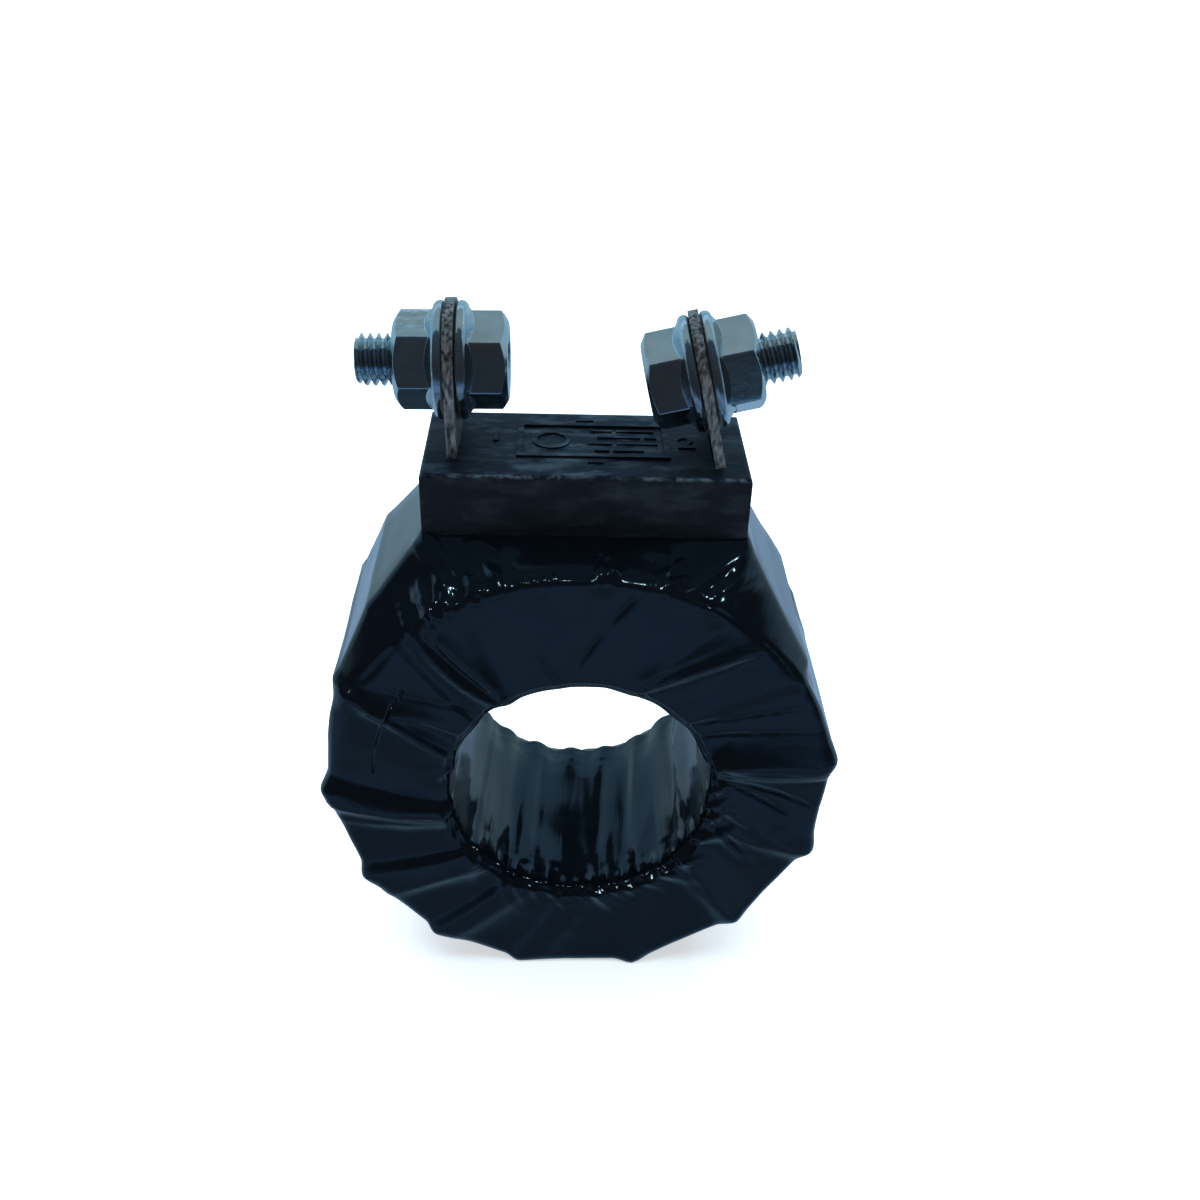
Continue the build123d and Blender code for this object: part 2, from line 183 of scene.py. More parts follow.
def makeWorld():    # pale table in front, dark room behind the camera, bright sweep behind the part
    world = bpy.data.worlds.new("studio")
    scene.world = world
    world.use_nodes = True
    tree = world.node_tree
    tree.nodes.clear()
    direction = addNode(tree, "ShaderNodeTexCoord").outputs["Generated"]
    axes = addNode(tree, "ShaderNodeSeparateXYZ", {"Vector": direction})
    height = addNode(tree, "ShaderNodeMapRange", {
        "Value": axes.outputs["Z"], "From Min": -1.0}).outputs[0]
    behind = addNode(tree, "ShaderNodeMapRange", {
        "Value": axes.outputs["Y"], "From Min": -0.2, "From Max": 0.15}, interpolation_type="SMOOTHSTEP")
    colour = addNode(tree, "ShaderNodeMix", {
        0: behind.outputs[0], 6: makeSweep(tree, height, studio["frontSweep"]),
        7: makeSweep(tree, height, studio["backSweep"])}, data_type="RGBA")
    light = addNode(tree, "ShaderNodeBackground", {
        "Color": colour.outputs[2], "Strength": studio["strength"]})
    white = addNode(tree, "ShaderNodeBackground", {"Color": (1, 1, 1, 1), "Strength": 1.0})
    path = addNode(tree, "ShaderNodeLightPath")
    mixed = addNode(tree, "ShaderNodeMixShader", {
        0: path.outputs["Is Camera Ray"], 1: light.outputs[0], 2: white.outputs[0]})
    addNode(tree, "ShaderNodeOutputWorld", {"Surface": mixed.outputs[0]})


def addLamp(name, place, size, power):
    lamp = bpy.data.lights.new(name, "AREA")
    lamp.size = size
    lamp.energy = power
    lamp.color = linear(studio["coolWhite"])[:3]
    lampObject = bpy.data.objects.new(name, lamp)
    aim = Vector((0, 0, 0.01)) - Vector(place)
    turned = aim.to_track_quat("-Z", "Y").to_matrix().to_4x4()
    lampObject.matrix_world = Matrix.Translation(place) @ turned
    scene.collection.objects.link(lampObject)
    lampObject.light_linking.receiver_collection = glinting


def addCard(x, y, height, width, depth):    # faces down, as bright as cardLight
    lamp = bpy.data.lights.new("card", "AREA")
    lamp.shape = "RECTANGLE"
    lamp.size, lamp.size_y = width, depth
    lamp.energy = studio["cardLight"] * math.pi * width * depth
    lamp.color = linear(studio["cardColour"])[:3]
    card = bpy.data.objects.new("card", lamp)
    card.matrix_world = Matrix.Translation((x, y, height))
    card.visible_camera = False
    card.light_linking.receiver_collection = plated
    scene.collection.objects.link(card)


def addOverhead():    # very wide and soft, from a little behind the part
    lamp = bpy.data.lights.new("overhead", "SUN")
    lamp.angle = math.radians(studio["overheadSpread"])
    lamp.energy = studio["overhead"]
    lamp.color = linear(studio["coolWhite"])[:3]
    lampObject = bpy.data.objects.new("overhead", lamp)
    lampObject.rotation_euler = (math.radians(studio["overheadTilt"]), 0, 0)
    lampObject.visible_glossy = False
    scene.collection.objects.link(lampObject)


makeFloor()
makeWorld()
addOverhead()
glinting = bpy.data.collections.new("glinting")    # the only pieces that the small lamps reach
plated = bpy.data.collections.new("plated")        # and those that the card reaches
addCard(*studio["card"])
for number, (x, y, z, size, power) in enumerate(studio["sparkLamps"]):
    addLamp(f"spark{number + 1}", (x, y, z), size, power)
print("floor and light set")


def pvcTape():    # glossy stretched PVC: sharp dark mirror, finely wrinkled along the pull
    material, tree = startMaterial("stretched PVC tape")
    uv = addNode(tree, "ShaderNodeUVMap", uv_map="tape").outputs["UV"]
    across = addNode(tree, "ShaderNodeMapping", {
        "Vector": uv, "Scale": (tape["width"], tape["unrolled"], 1)}).outputs[0]    # in mm
    pulled = addNode(tree, "ShaderNodeMapping", {"Vector": across, "Scale": (1.0, 0.12, 1)}).outputs[0]
    # streaks of the pull, 0.9 mm apart
    streaks = addNode(tree, "ShaderNodeTexNoise", {
        "Vector": pulled, "Scale": 1.1, "Detail": 3.0, "Roughness": 0.55})
    place = addNode(tree, "ShaderNodeTexCoord").outputs["Object"]
    grain = addNode(tree, "ShaderNodeTexNoise", {
        "Vector": place, "Scale": perMetre(2.857), "Detail": 1.0})
    crinkle = addNode(tree, "ShaderNodeAttribute", attribute_name="crinkle")
    rucks = addNode(tree, "ShaderNodeTexVoronoi", {
        "Vector": place, "Scale": perMetre(1.923)}, feature="SMOOTH_F1")
    ruck = addNode(tree, "ShaderNodeMath", {
        0: rucks.outputs["Distance"], 1: crinkle.outputs["Fac"]}, operation="MULTIPLY")
    fine = addNode(tree, "ShaderNodeBump", {
        "Height": streaks.outputs["Fac"], "Strength": 0.35, "Distance": 0.06 * mm})
    soft = addNode(tree, "ShaderNodeBump", {
        "Height": ruck.outputs[0], "Strength": 0.9, "Distance": 0.7 * mm, "Normal": fine.outputs[0]})
    rough = addNode(tree, "ShaderNodeMapRange", {
        "Value": grain.outputs["Fac"], "From Min": 0.35, "From Max": 0.7, "To Min": 0.08, "To Max": 0.13})
    shader = addNode(tree, "ShaderNodeBsdfPrincipled", {
        "Base Color": linear("06090d"), "Roughness": rough.outputs[0], "Normal": soft.outputs[0],
        "IOR": 1.5, "Specular Tint": linear("dff5ff")})
    return finishMaterial(material, shader)


def mouldedBlock():    # glass-filled moulding: dull black skin, pale where it is scuffed or worn
    material, tree = startMaterial("moulded phenolic")
    place = addNode(tree, "ShaderNodeTexCoord").outputs["Object"]
    # cloudy skin, pits and chipped grain, in mm; the pits are drawn coarse enough to show
    cloud, pits, chips = [addNode(tree, "ShaderNodeTexNoise", {
        "Vector": place, "Scale": perMetre(size), "Detail": detail})
        for size, detail in ((6.25, 6.0), (0.6667, 4.0), (1.111, 3.0))]
    skin = addNode(tree, "ShaderNodeMix", {
        0: cloud.outputs["Fac"], 6: linear("04080f"), 7: linear("0b131b")}, data_type="RGBA")
    # dusty scuffs on the upper face, long ones across the front
    drawn = addNode(tree, "ShaderNodeMapping", {"Vector": place, "Scale": (0.35, 1.0, 1.0)}).outputs[0]
    scuff = addNode(tree, "ShaderNodeTexNoise", {
        "Vector": drawn, "Scale": perMetre(2.381), "Detail": 7.0, "Roughness": 0.7})
    facing = addNode(tree, "ShaderNodeSeparateXYZ", {
        "Vector": addNode(tree, "ShaderNodeTexCoord").outputs["Normal"]})
    upper = addNode(tree, "ShaderNodeMapRange", {
        "Value": facing.outputs["Z"], "From Min": 0.3, "From Max": 0.9, "To Min": 0.22, "To Max": 0.8})
    scuffed = addNode(tree, "ShaderNodeMapRange", {
        "Value": scuff.outputs["Fac"], "From Min": 0.48, "From Max": 0.76, "To Max": upper.outputs[0]})
    dusty = addNode(tree, "ShaderNodeMix", {
        0: scuffed.outputs[0], 6: skin.outputs[2], 7: linear("43525d")}, data_type="RGBA")
    # worn line along the upper front edge, broken by the grain
    top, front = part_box("terminal_block")[1].z - block["relief"] * mm, -tape["blockDepth"] / 2 * mm
    edge = addNode(tree, "ShaderNodeVectorMath", {
        0: addNode(tree, "ShaderNodeMapping", {"Vector": place, "Scale": (0, 1, 1)}).outputs[0],
        1: (0, front, top)}, operation="DISTANCE")
    nearEdge = addNode(tree, "ShaderNodeMapRange", {
        "Value": edge.outputs["Value"], "From Min": 0.15 * mm, "From Max": 0.45 * mm,
        "To Min": 1.0, "To Max": 0.0})
    chipped = addNode(tree, "ShaderNodeMapRange", {
        "Value": chips.outputs["Fac"], "From Min": 0.47, "From Max": 0.66})
    worn = addNode(tree, "ShaderNodeMath", {
        0: nearEdge.outputs[0], 1: chipped.outputs[0]}, operation="MULTIPLY")
    colour = addNode(tree, "ShaderNodeMix", {
        0: worn.outputs[0], 6: dusty.outputs[2], 7: linear("4d5a66")}, data_type="RGBA")
    height = addNode(tree, "ShaderNodeMath", {
        0: cloud.outputs["Fac"], 1: pits.outputs["Fac"]}, operation="ADD")
    bump = addNode(tree, "ShaderNodeBump", {
        "Height": height.outputs[0], "Strength": 0.6, "Distance": 0.15 * mm})
    rough = addNode(tree, "ShaderNodeMapRange", {
        "Value": cloud.outputs["Fac"], "To Min": 0.45, "To Max": 0.75})
    shader = addNode(tree, "ShaderNodeBsdfPrincipled", {
        "Base Color": colour.outputs[2], "Roughness": rough.outputs[0], "Normal": bump.outputs[0]})
    return finishMaterial(material, shader)


def zincPlate():    # bright zinc with a blue passivate: cool mirror, uneven as orange peel
    material, tree = startMaterial("blue passivated zinc plate")
    place = addNode(tree, "ShaderNodeTexCoord").outputs["Object"]
    # patches of the film, its peel and dull tarnish, in mm; the peel is drawn coarse enough to show
    film, peel, tarnish = [addNode(tree, "ShaderNodeTexNoise", {
        "Vector": place, "Scale": perMetre(size), "Detail": detail})
        for size, detail in ((2.381, 4.0), (1.1765, 3.0), (9.091, 2.0))]
    clean = addNode(tree, "ShaderNodeMix", {
        0: film.outputs["Fac"], 6: linear("9cb4bb"), 7: linear("cfdadb")}, data_type="RGBA")
    tarnished = addNode(tree, "ShaderNodeMapRange", {
        "Value": tarnish.outputs["Fac"], "From Min": 0.45, "From Max": 0.7, "To Max": 0.5})
    colour = addNode(tree, "ShaderNodeMix", {
        0: tarnished.outputs[0], 6: clean.outputs[2], 7: linear("c2b4a8")}, data_type="RGBA")
    rough = addNode(tree, "ShaderNodeMapRange", {
        "Value": film.outputs["Fac"], "From Min": 0.3, "From Max": 0.7, "To Min": 0.09, "To Max": 0.19})
    bump = addNode(tree, "ShaderNodeBump", {
        "Height": peel.outputs["Fac"], "Strength": 0.6, "Distance": 0.09 * mm})
    shader = addNode(tree, "ShaderNodeBsdfPrincipled", {
        "Base Color": colour.outputs[2], "Metallic": 1.0, "Roughness": rough.outputs[0],
        "Normal": bump.outputs[0]})
    return finishMaterial(material, shader)


def shearedSteel():    # dull sheet: grey faces, torn upright grain where the shear broke through
    material, tree = startMaterial("sheared steel strip")
    place = addNode(tree, "ShaderNodeTexCoord").outputs["Object"]
    tall = addNode(tree, "ShaderNodeMapping", {"Vector": place, "Scale": (1.0, 1.0, 0.3)}).outputs[0]
    grain = addNode(tree, "ShaderNodeTexNoise", {
        "Vector": tall, "Scale": perMetre(0.41667), "Detail": 5.0})
    torn = addNode(tree, "ShaderNodeMapRange", {
        "Value": grain.outputs["Fac"], "From Min": 0.36, "From Max": 0.66})
    colour = addNode(tree, "ShaderNodeMix", {
        0: torn.outputs[0], 6: linear("4a494a"), 7: linear("c2beb7")}, data_type="RGBA")
    # the rolled faces of the sheet are plain; the tabs stand across x
    facing = addNode(tree, "ShaderNodeSeparateXYZ", {
        "Vector": addNode(tree, "ShaderNodeTexCoord").outputs["Normal"]})
    across = addNode(tree, "ShaderNodeMath", {0: facing.outputs["X"]}, operation="ABSOLUTE")
    rolled = addNode(tree, "ShaderNodeMapRange", {
        "Value": across.outputs[0], "From Min": 0.6, "From Max": 0.85, "To Max": 0.85})
    colour = addNode(tree, "ShaderNodeMix", {
        0: rolled.outputs[0], 6: colour.outputs[2], 7: linear("8f8d89")}, data_type="RGBA")
    bump = addNode(tree, "ShaderNodeBump", {
        "Height": grain.outputs["Fac"], "Strength": 0.8, "Distance": 0.22 * mm})
    shader = addNode(tree, "ShaderNodeBsdfPrincipled", {
        "Base Color": colour.outputs[2], "Metallic": 0.85, "Roughness": 0.48,
        "Normal": bump.outputs[0]})
    return finishMaterial(material, shader)


tape = {
    "windowRadius": mounts["window"]["dims"]["r_mm"],
    "build": 0.85,             # tape and the clearance under it
    "flatSink": 1.1,           # lowest lap pressed flat, where the ring stands
    "tapeRise": 2.1,           # top of the ring to the line where the tape meets the block
    "blockLength": 38.4, "blockDepth": 17.4,
    # reach of each rounded fold
    "outerFold": 1.7, "tentFold": 0.7, "boreFold": 1.2, "blockFold": 0.7,
    "flute": 0.35, "fluteCount": 22,    # ridges in the window
    # how fast the window opens towards the front, and how far at most
    "mouthSlope": 0.052, "mouthLimit": 0.64,
    # hollows of the rear rim: degrees from one to the next, width in degrees, depth
    "scallopEvery": 17, "scallopWidth": 5.6, "scallopDepth": 0.8,
    # the far side repeats the front's folds and pleats, mirrored about half of these angles
    "foldTurn": 151, "pleatTurn": 193,
    # edge under the block: height of its bead and its crumples; then slow and quick unevenness
    "bead": 0.22, "crumple": 0.55, "wander": 0.12, "dimples": 0.03,
    "slant": 1 / 3,            # share of a lap that the tape advances across a face
    "columns": 54,             # mesh columns across each lap
    "width": 19.0, "unrolled": 14 * 96.0,    # tape width and length, for its pattern
    # lap edges from the top clockwise: angle, and how far the tape stands off its taut line
    "sideLaps": [
        (54.0, 0.8), (80.0, 0.2), (107.0, -0.3), (136.0, -0.5), (165.5, 0.0), (194.5, 0.0),
        (217.0, -0.1), (242.0, -0.3), (270.0, 0.0), (299.0, 2.0), (315.0, 2.4)],
    # for each lap, from the first: how far its end stands above the next one, on the faces and
    # on the outer side, and the tape bunched up at the outer corners there
    "faceRise": [0.2, 0.2, 0.55, 0.4, 0.5, 0.35, 0.3, 0.45, 0.5, 0.5, 0.45, 0.2, 0.3, 0.2],
    "outerRise": [0.3, 0.25, 0.55, 0.5, 0.5, 0.5, 0.5, 0.5, 0.5, 0.45, 0.2, 0.1, 0.1, 0.1],
    "ears": [0, 0, 0.3, 0.7, 0.55, 0.5, 0.2, 0.3, 0.6, 0.5, 0.35, 0, 0, 0],
    "fall": 0.18,              # share of the next lap over which that step comes down
    "seed": 11,
}
ringRadius = tape["flatSink"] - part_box("tape_wrap")[0].z / mm
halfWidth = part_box("winding_film")[1].y / mm + tape["build"]
tapeLine = ringRadius + tape["tapeRise"]
cornerAngle = math.degrees(math.atan2(tape["blockLength"] / 2, tapeLine))
cornerRadius = math.hypot(tape["blockLength"] / 2, tapeLine)
tangentAngle = cornerAngle + math.degrees(math.acos(ringRadius / cornerRadius))
lapEdges = [(0.0, 0.0), (cornerAngle, 0.0)] + tape["sideLaps"] + [(360 - cornerAngle, 0.0)]
lapCount = len(lapEdges)
# intervals of the half outline, from the middle of the window to the middle of the outer side
frontRows = [("bore", 12), ("boreFold", 12), ("face", 32), ("outerFold", 9), ("slope", 17),
             ("blockFold", 3), ("outer", 3)]
rearRows = [("bore", 6), ("boreFold", 8), ("face", 12), ("outerFold", 5), ("slope", 5),
            ("blockFold", 2), ("outer", 3)]


def lapEdge(edge):    # angle and stand-off at a lap edge, which may be a fraction between two
    turns, edge = divmod(edge, lapCount)
    low = int(edge)
    share = edge - low
    start = lapEdges[low]
    end = lapEdges[low + 1] if low + 1 < lapCount else (360.0, 0.0)
    angle, swell = [first + share * (last - first) for first, last in zip(start, end)]
    return 360.0 * turns + angle, swell


def shoulder(angle):    # radius and half width of the taut tape where it crosses this plane
    turned = abs((angle + 180) % 360 - 180)
    narrow = tape["blockDepth"] / 2
    if turned <= cornerAngle + 1e-6:
        return tapeLine / math.cos(math.radians(turned)), narrow
    if turned >= tangentAngle:
        return ringRadius, narrow
    slope = math.radians(tangentAngle - turned)
    whole = math.sqrt(cornerRadius ** 2 - ringRadius ** 2)
    share = 1 - ringRadius * math.tan(slope) / whole
    return ringRadius / math.cos(slope), narrow + share * (halfWidth - 1.3 - narrow)


def bend(start, corner, end, t):    # rounded corner
    return (1 - t) ** 2 * start + 2 * t * (1 - t) * corner + t * t * end


def outlineRow(angle, swell, part, t):    # radius and depth of one row of the half outline
    over, overHalf = shoulder(angle)
    onBlock = over > ringRadius
    rim = ringRadius + (0 if onBlock else swell)
    fromTop = abs((angle + 180) % 360 - 180)
    fold = tape["tentFold"] + (tape["outerFold"] - tape["tentFold"]) * smoothstep(52, 64, fromTop)
    bore = np.array((tape["windowRadius"] + tape["flute"] / 2, halfWidth))
    edge = np.array((rim, halfWidth))
    top = np.array((over + swell, overHalf))
    slope = (top - edge) / np.linalg.norm(top - edge)
    boreIn, boreOut = bore - (0, tape["boreFold"]), bore + (tape["boreFold"], 0)
    edgeIn, edgeOut = edge - (fold, 0), edge + slope * fold
    topIn, topOut = top - slope * tape["blockFold"], top - (0, tape["blockFold"])
    if part == "bore":
        return (boreIn * (1, 0)) * (1 - t) + boreIn * t
    if part == "boreFold":
        return bend(boreIn, bore, boreOut, t)
    if part == "face":
        return boreOut * (1 - t) + edgeIn * t
    if part == "outerFold":
        return bend(edgeIn, edge, edgeOut, t)
    if part == "slope":
        return edgeOut * (1 - t) + topIn * t
    if part == "blockFold":
        return bend(topIn, top, topOut, t)
    return topOut * (1 - t) + topOut * (1, 0) * t


def tapeRows():    # each row of the whole outline: part, share along it, front or back
    front, rear = [[(part, step / count, side) for part, count in rows for step in range(count)]
                   for rows, side in ((frontRows, -1), (rearRows, 1))]
    return front + [("outer", 1.0, 1)] + rear[:0:-1]


def rowAdvance(part, t):    # how far the tape has advanced along the ring on this row, in laps
    half = tape["slant"] / 2
    if part == "bore":
        return tape["slant"] + half * (1 - t)
    if part == "boreFold":
        return tape["slant"] * (1 - 0.12 * t)
    if part == "face":
        return tape["slant"] * 0.88 * (1 - t)
    return 0.0


def tapeBase():    # straight laps from edge to edge, as (row, column, xyz) in mm
    rows = tapeRows()
    columns = lapCount * tape["columns"]
    points = np.zeros((len(rows), columns, 3))
    share = (np.arange(tape["columns"]) / tape["columns"])[:, None]
    for index, (part, t, side) in enumerate(rows):
        shift = side * rowAdvance(part, t)
        edges = []
        for edge in range(lapCount + 1):
            angle, swell = lapEdge(edge + shift)
            radius, depth = outlineRow(angle, swell, part, t)
            edges.append((radius * math.sin(math.radians(angle)), side * depth,
                          radius * math.cos(math.radians(angle)), radius))
        edges = np.array(edges)
        # near the window and over the top, the laps follow the circle instead of a chord
        for lap in range(lapCount):
            lerped = edges[lap] * (1 - share) + edges[lap + 1] * share
            reach = np.hypot(lerped[:, 0], lerped[:, 2])
            angle = np.abs(np.degrees(np.arctan2(lerped[:, 0], lerped[:, 2])))
            roundEdge = 0.15 + 0.75 * smoothstep(100, 60, angle)
            roundTop = 0.15 * smoothstep(tangentAngle, tangentAngle + 12, angle)
            roundness = {
                "bore": 1.0, "boreFold": 1.0, "face": 1 + (roundEdge - 1) * t, "outerFold": roundEdge,
                "slope": roundEdge + (roundTop - roundEdge) * t}.get(part, roundTop)
            scale = 1 + roundness * (lerped[:, 3] / reach - 1)
            lerped[:, 0] *= scale
            lerped[:, 2] *= scale
            points[index, lap * tape["columns"]:(lap + 1) * tape["columns"]] = lerped[:, :3]
    return rows, points


# Folds of the front face. Each runs through three places, given as angle and radius, and
# has a height (below zero for a groove), and a width on its side of lower and of higher angles.
frontFolds = [
    # left, from the top: two soft ridges with a valley between them
    ((322, 35.5), (319.8, 24.5), (328, 16.9), 0.55, 0.8, 0.9),
    ((325, 32), (324.6, 26), (329, 18.5), 0.50, 0.7, 1.6),
    ((322, 30.5), (323.0, 23.8), (327, 17.5), -0.30, 0.7, 0.8),
    ((302, 31.8), (310.5, 22.5), (321, 16.9), -0.16, 0.35, 0.35),
    ((296, 31), (301.5, 24.0), (304, 17.2), 0.35, 0.8, 1.9),
    ((299, 33), (296.8, 25.5), (292, 16.9), 0.60, 0.9, 1.7),
    ((316, 32.2), (310.0, 31.8), (303, 32.0), -0.30, 0.5, 0.5),
    ((267, 32.4), (262.5, 24.2), (258, 17.0), 0.85, 1.0, 3.2),
    ((262, 31.5), (258.0, 24.5), (254, 18.0), 0.22, 0.8, 0.9),
    ((235, 31.8), (231.0, 23.5), (223, 17.0), 0.52, 1.4, 2.7),
    ((214, 32.8), (209.0, 25.4), (200, 17.5), 0.30, 1.6, 2.0),
    ((189, 31.0), (181.0, 22.0), (173, 17.6), 0.20, 1.6, 1.6),
    ((342, 33.0), (336, 33.2), (329, 33.0), -0.25, 0.35, 0.35),
    # right, from the top
    ((21, 32.9), (28, 32.7), (35, 32.4), -0.28, 0.35, 0.35),
    ((35, 32.4), (44, 32.2), (53, 32.0), -0.24, 0.35, 0.35),
    ((5, 25.6), (4.2, 29.0), (3, 32.4), -0.22, 0.30, 0.30),
    ((7, 27.0), (9.3, 29.2), (11, 31.0), -0.25, 0.3, 0.3),
    ((359, 20.8), (2.5, 23.4), (5, 25.4), -0.22, 0.30, 0.30),
    ((346, 22.3), (348.5, 20), (352, 18.0), -0.18, 0.3, 0.3),
    ((22, 18.0), (34.0, 23.9), (42.5, 31.3), 0.55, 1.6, 0.6),
    ((20, 19.5), (27.0, 23.0), (35, 29.5), 0.14, 1.0, 0.6),
    ((48, 17.6), (55.3, 22.8), (62, 31.2), -0.15, 0.28, 0.28),
    ((55, 17.4), (62.0, 22.5), (70, 32.0), -0.16, 0.28, 0.28),
    ((68, 16.9), (78.5, 21.5), (83.5, 32.4), 0.85, 2.3, 0.8),
    ((80, 17.4), (87.5, 24.8), (94, 31.4), -0.25, 0.35, 0.40),
    ((80, 18.0), (89.5, 22.9), (96, 27.6), -0.20, 0.35, 0.35),
    ((88, 16.9), (106.0, 18.6), (116, 25.5), 0.35, 0.7, 0.9),
    ((96, 18.4), (101.0, 19.8), (104, 23.0), -0.35, 0.7, 0.8),
    ((106, 19.5), (108.8, 26.5), (107, 32.0), 0.40, 2.0, 1.2),
    ((104, 18.4), (110.0, 21.5), (116, 27.4), -0.18, 0.30, 0.35),
    ((119, 17.0), (134.0, 20.6), (136, 30.5), 0.36, 1.7, 1.3),
    ((150, 17.2), (158.0, 22.6), (163, 31.5), 0.26, 1.8, 1.5),
]
# pleats of the window's rim, from the left round the bottom: angle, height, width and how far
# out they reach, and how far they lean over that reach
rimPleats = [
    (284, 0.30, 2.4, 2.0, 4), (262, 0.35, 2.6, 2.2, 6), (248, 0.25, 2.2, 2.0, 4), (233, 0.45, 2.2, 3.0, 6),
    (219, 0.45, 2.0, 3.4, 9), (211, 0.50, 1.7, 2.6, 6), (203, 0.35, 1.5, 2.2, 5), (195, 0.45, 1.8, 2.8, 8),
    (187, 0.30, 1.3, 1.8, 3), (181, 0.30, 1.3, 1.8, 3), (174, 0.65, 1.9, 3.2, 5), (166, 0.30, 1.4, 1.8, 3),
    (159, 0.35, 1.4, 2.0, 3), (150, 0.45, 1.8, 2.6, 4), (142, 0.60, 2.0, 3.0, 5), (131, 0.40, 1.8, 2.4, 5),
    (117, 0.60, 2.2, 3.4, 8), (105, 0.40, 1.8, 2.4, 6), (98, 0.40, 1.6, 2.0, 5), (90, 0.45, 1.6, 2.4, 6),
    (78, 0.35, 1.8, 2.4, 7), (330, 0.20, 3.0, 2.2, 4),
]
# crumpled places of the edge under the block: angle, spread in degrees, and how strongly
crumples = [
    (-29, 2.4, 0.7), (-33, 2.0, 0.8), (-22.5, 1.8, 0.7), (-18, 1.4, 0.5), (4.5, 2.2, 0.8),
    (16, 1.6, 0.5), (27, 2.0, 0.4),
]
# small ridges there, each through three places of the plan (x and y), with its height and width
edgeRidges = [
    ((-20.4, -8.9), (-18.1, -11.3), (-14.8, -14.1), 0.45, 0.45),
    ((-19.4, -9.2), (-17.0, -11.1), (-14.7, -13.1), 0.40, 0.40),
    ((-19.6, -7.1), (-17.1, -10.2), (-14.8, -12.4), 0.45, 0.45),
    ((-17.5, -12.6), (-16.7, -13.2), (-15.9, -13.8), 0.35, 0.35),
    ((-20.2, -12.6), (-19.0, -13.9), (-17.6, -15.3), 0.45, 0.40),
    ((-19.5, -12.2), (-18.6, -13.6), (-17.0, -14.7), 0.35, 0.35),
    ((-14.0, -13.1), (-12.6, -13.7), (-11.4, -14.0), 0.32, 0.35),
    ((-13.6, -14.1), (-12.4, -14.6), (-11.2, -14.8), 0.32, 0.35),
    ((-12.0, -11.5), (-10.8, -13.1), (-9.3, -14.3), 0.38, 0.38),
    ((-11.2, -12.8), (-10.2, -14.1), (-8.8, -15.1), 0.30, 0.32),
    ((-14.6, -10.2), (-12.1, -9.7), (-9.9, -11.5), 0.32, 0.38),
    ((-7.3, -14.9), (-7.0, -15.0), (-6.7, -14.9), 0.35, 0.35),
    ((-6.1, -14.9), (-5.8, -14.9), (-5.6, -14.8), 0.30, 0.32),
    ((-4.9, -14.9), (-4.7, -15.0), (-4.4, -14.9), 0.35, 0.35),
    ((-3.8, -14.8), (-3.6, -14.9), (-3.2, -14.9), 0.30, 0.30),
    ((1.3, -15.1), (1.5, -14.3), (1.8, -13.5), 0.55, 0.32),
    ((1.8, -13.5), (2.1, -14.3), (2.4, -15.1), 0.45, 0.32),
    ((2.4, -15.1), (2.8, -14.3), (3.2, -13.5), 0.55, 0.32),
    ((3.2, -13.5), (3.6, -14.2), (4.0, -14.9), 0.45, 0.32),
    ((8.8, -15.0), (10.1, -14.3), (12.0, -13.1), 0.38, 0.36),
    ((7.7, -14.7), (9.8, -12.8), (12.2, -11.3), 0.32, 0.38),
    ((14.0, -14.9), (17.0, -13.0), (20.5, -10.2), 0.38, 0.40),
    ((14.9, -15.2), (18.0, -13.3), (21.0, -10.9), 0.38, 0.36),
    ((12.2, -14.6), (15.3, -12.2), (18.6, -10.0), 0.38, 0.45),
]
# where the window's wall starts to open towards the front: angle and y, from point to point
boreMouth = [
    (60, -11), (100, -9), (124.5, -7.5), (139.8, -1.5), (150.7, -11), (162.5, -5), (173.9, -11),
    (186, -3.4), (195.1, -11), (210.2, -3), (221.8, -11), (235.2, -5), (248, -10), (300, -11),
]


def foldPoint(place):    # place on the face from its angle and radius
    angle, radius = math.radians(place[0]), place[1]
    return radius * np.array((math.sin(angle), math.cos(angle)))


def foldHeight(x, z, fold):    # height that one fold adds at these places on the face
    start, middle, end = [foldPoint(place) for place in fold[:3]]
    return ridgeHeight(x, z, (start, middle, end, *fold[3:]))


def ridgeHeight(x, z, ridge):    # the same, with its places as flat coordinates
    start, middle, end, height, lowWidth, highWidth = ridge
    corner = 2 * middle - (start + end) / 2
    nearest = np.full(x.shape, 1e9)
    along = np.zeros(x.shape)
    side = np.zeros(x.shape)
    for step in range(33):
        t = step / 32
        point = bend(start, corner, end, t)
        distance = np.hypot(x - point[0], z - point[1])
        closer = distance < nearest
        nearest = np.where(closer, distance, nearest)
        along = np.where(closer, t, along)
        # towards higher angles, clockwise
        turned = (x - point[0]) * point[1] - (z - point[1]) * point[0]
        side = np.where(closer, turned / (np.hypot(*point) + 1e-9), side)
    taper = np.sin(np.pi * np.clip(along * 0.96 + 0.02, 0, 1)) ** 0.5
    width = lowWidth + (highWidth - lowWidth) * smoothstep(-0.8, 0.8, side)
    return height * taper / (1 + (nearest / width) ** 2) ** 1.5


def noiseAt(points, scale, shift):    # smooth noise from -1 to 1, on a grid of points
    flat = points.reshape(-1, 3) * scale + shift
    values = np.array([noise.noise(Vector(point)) for point in flat])
    return values.reshape(points.shape[:2])


def hump(value, centre, width):    # smooth hump, also across the turn from 360 to 0 degrees
    away = (value - centre + 180) % 360 - 180
    return np.exp(-(away / width) ** 2)


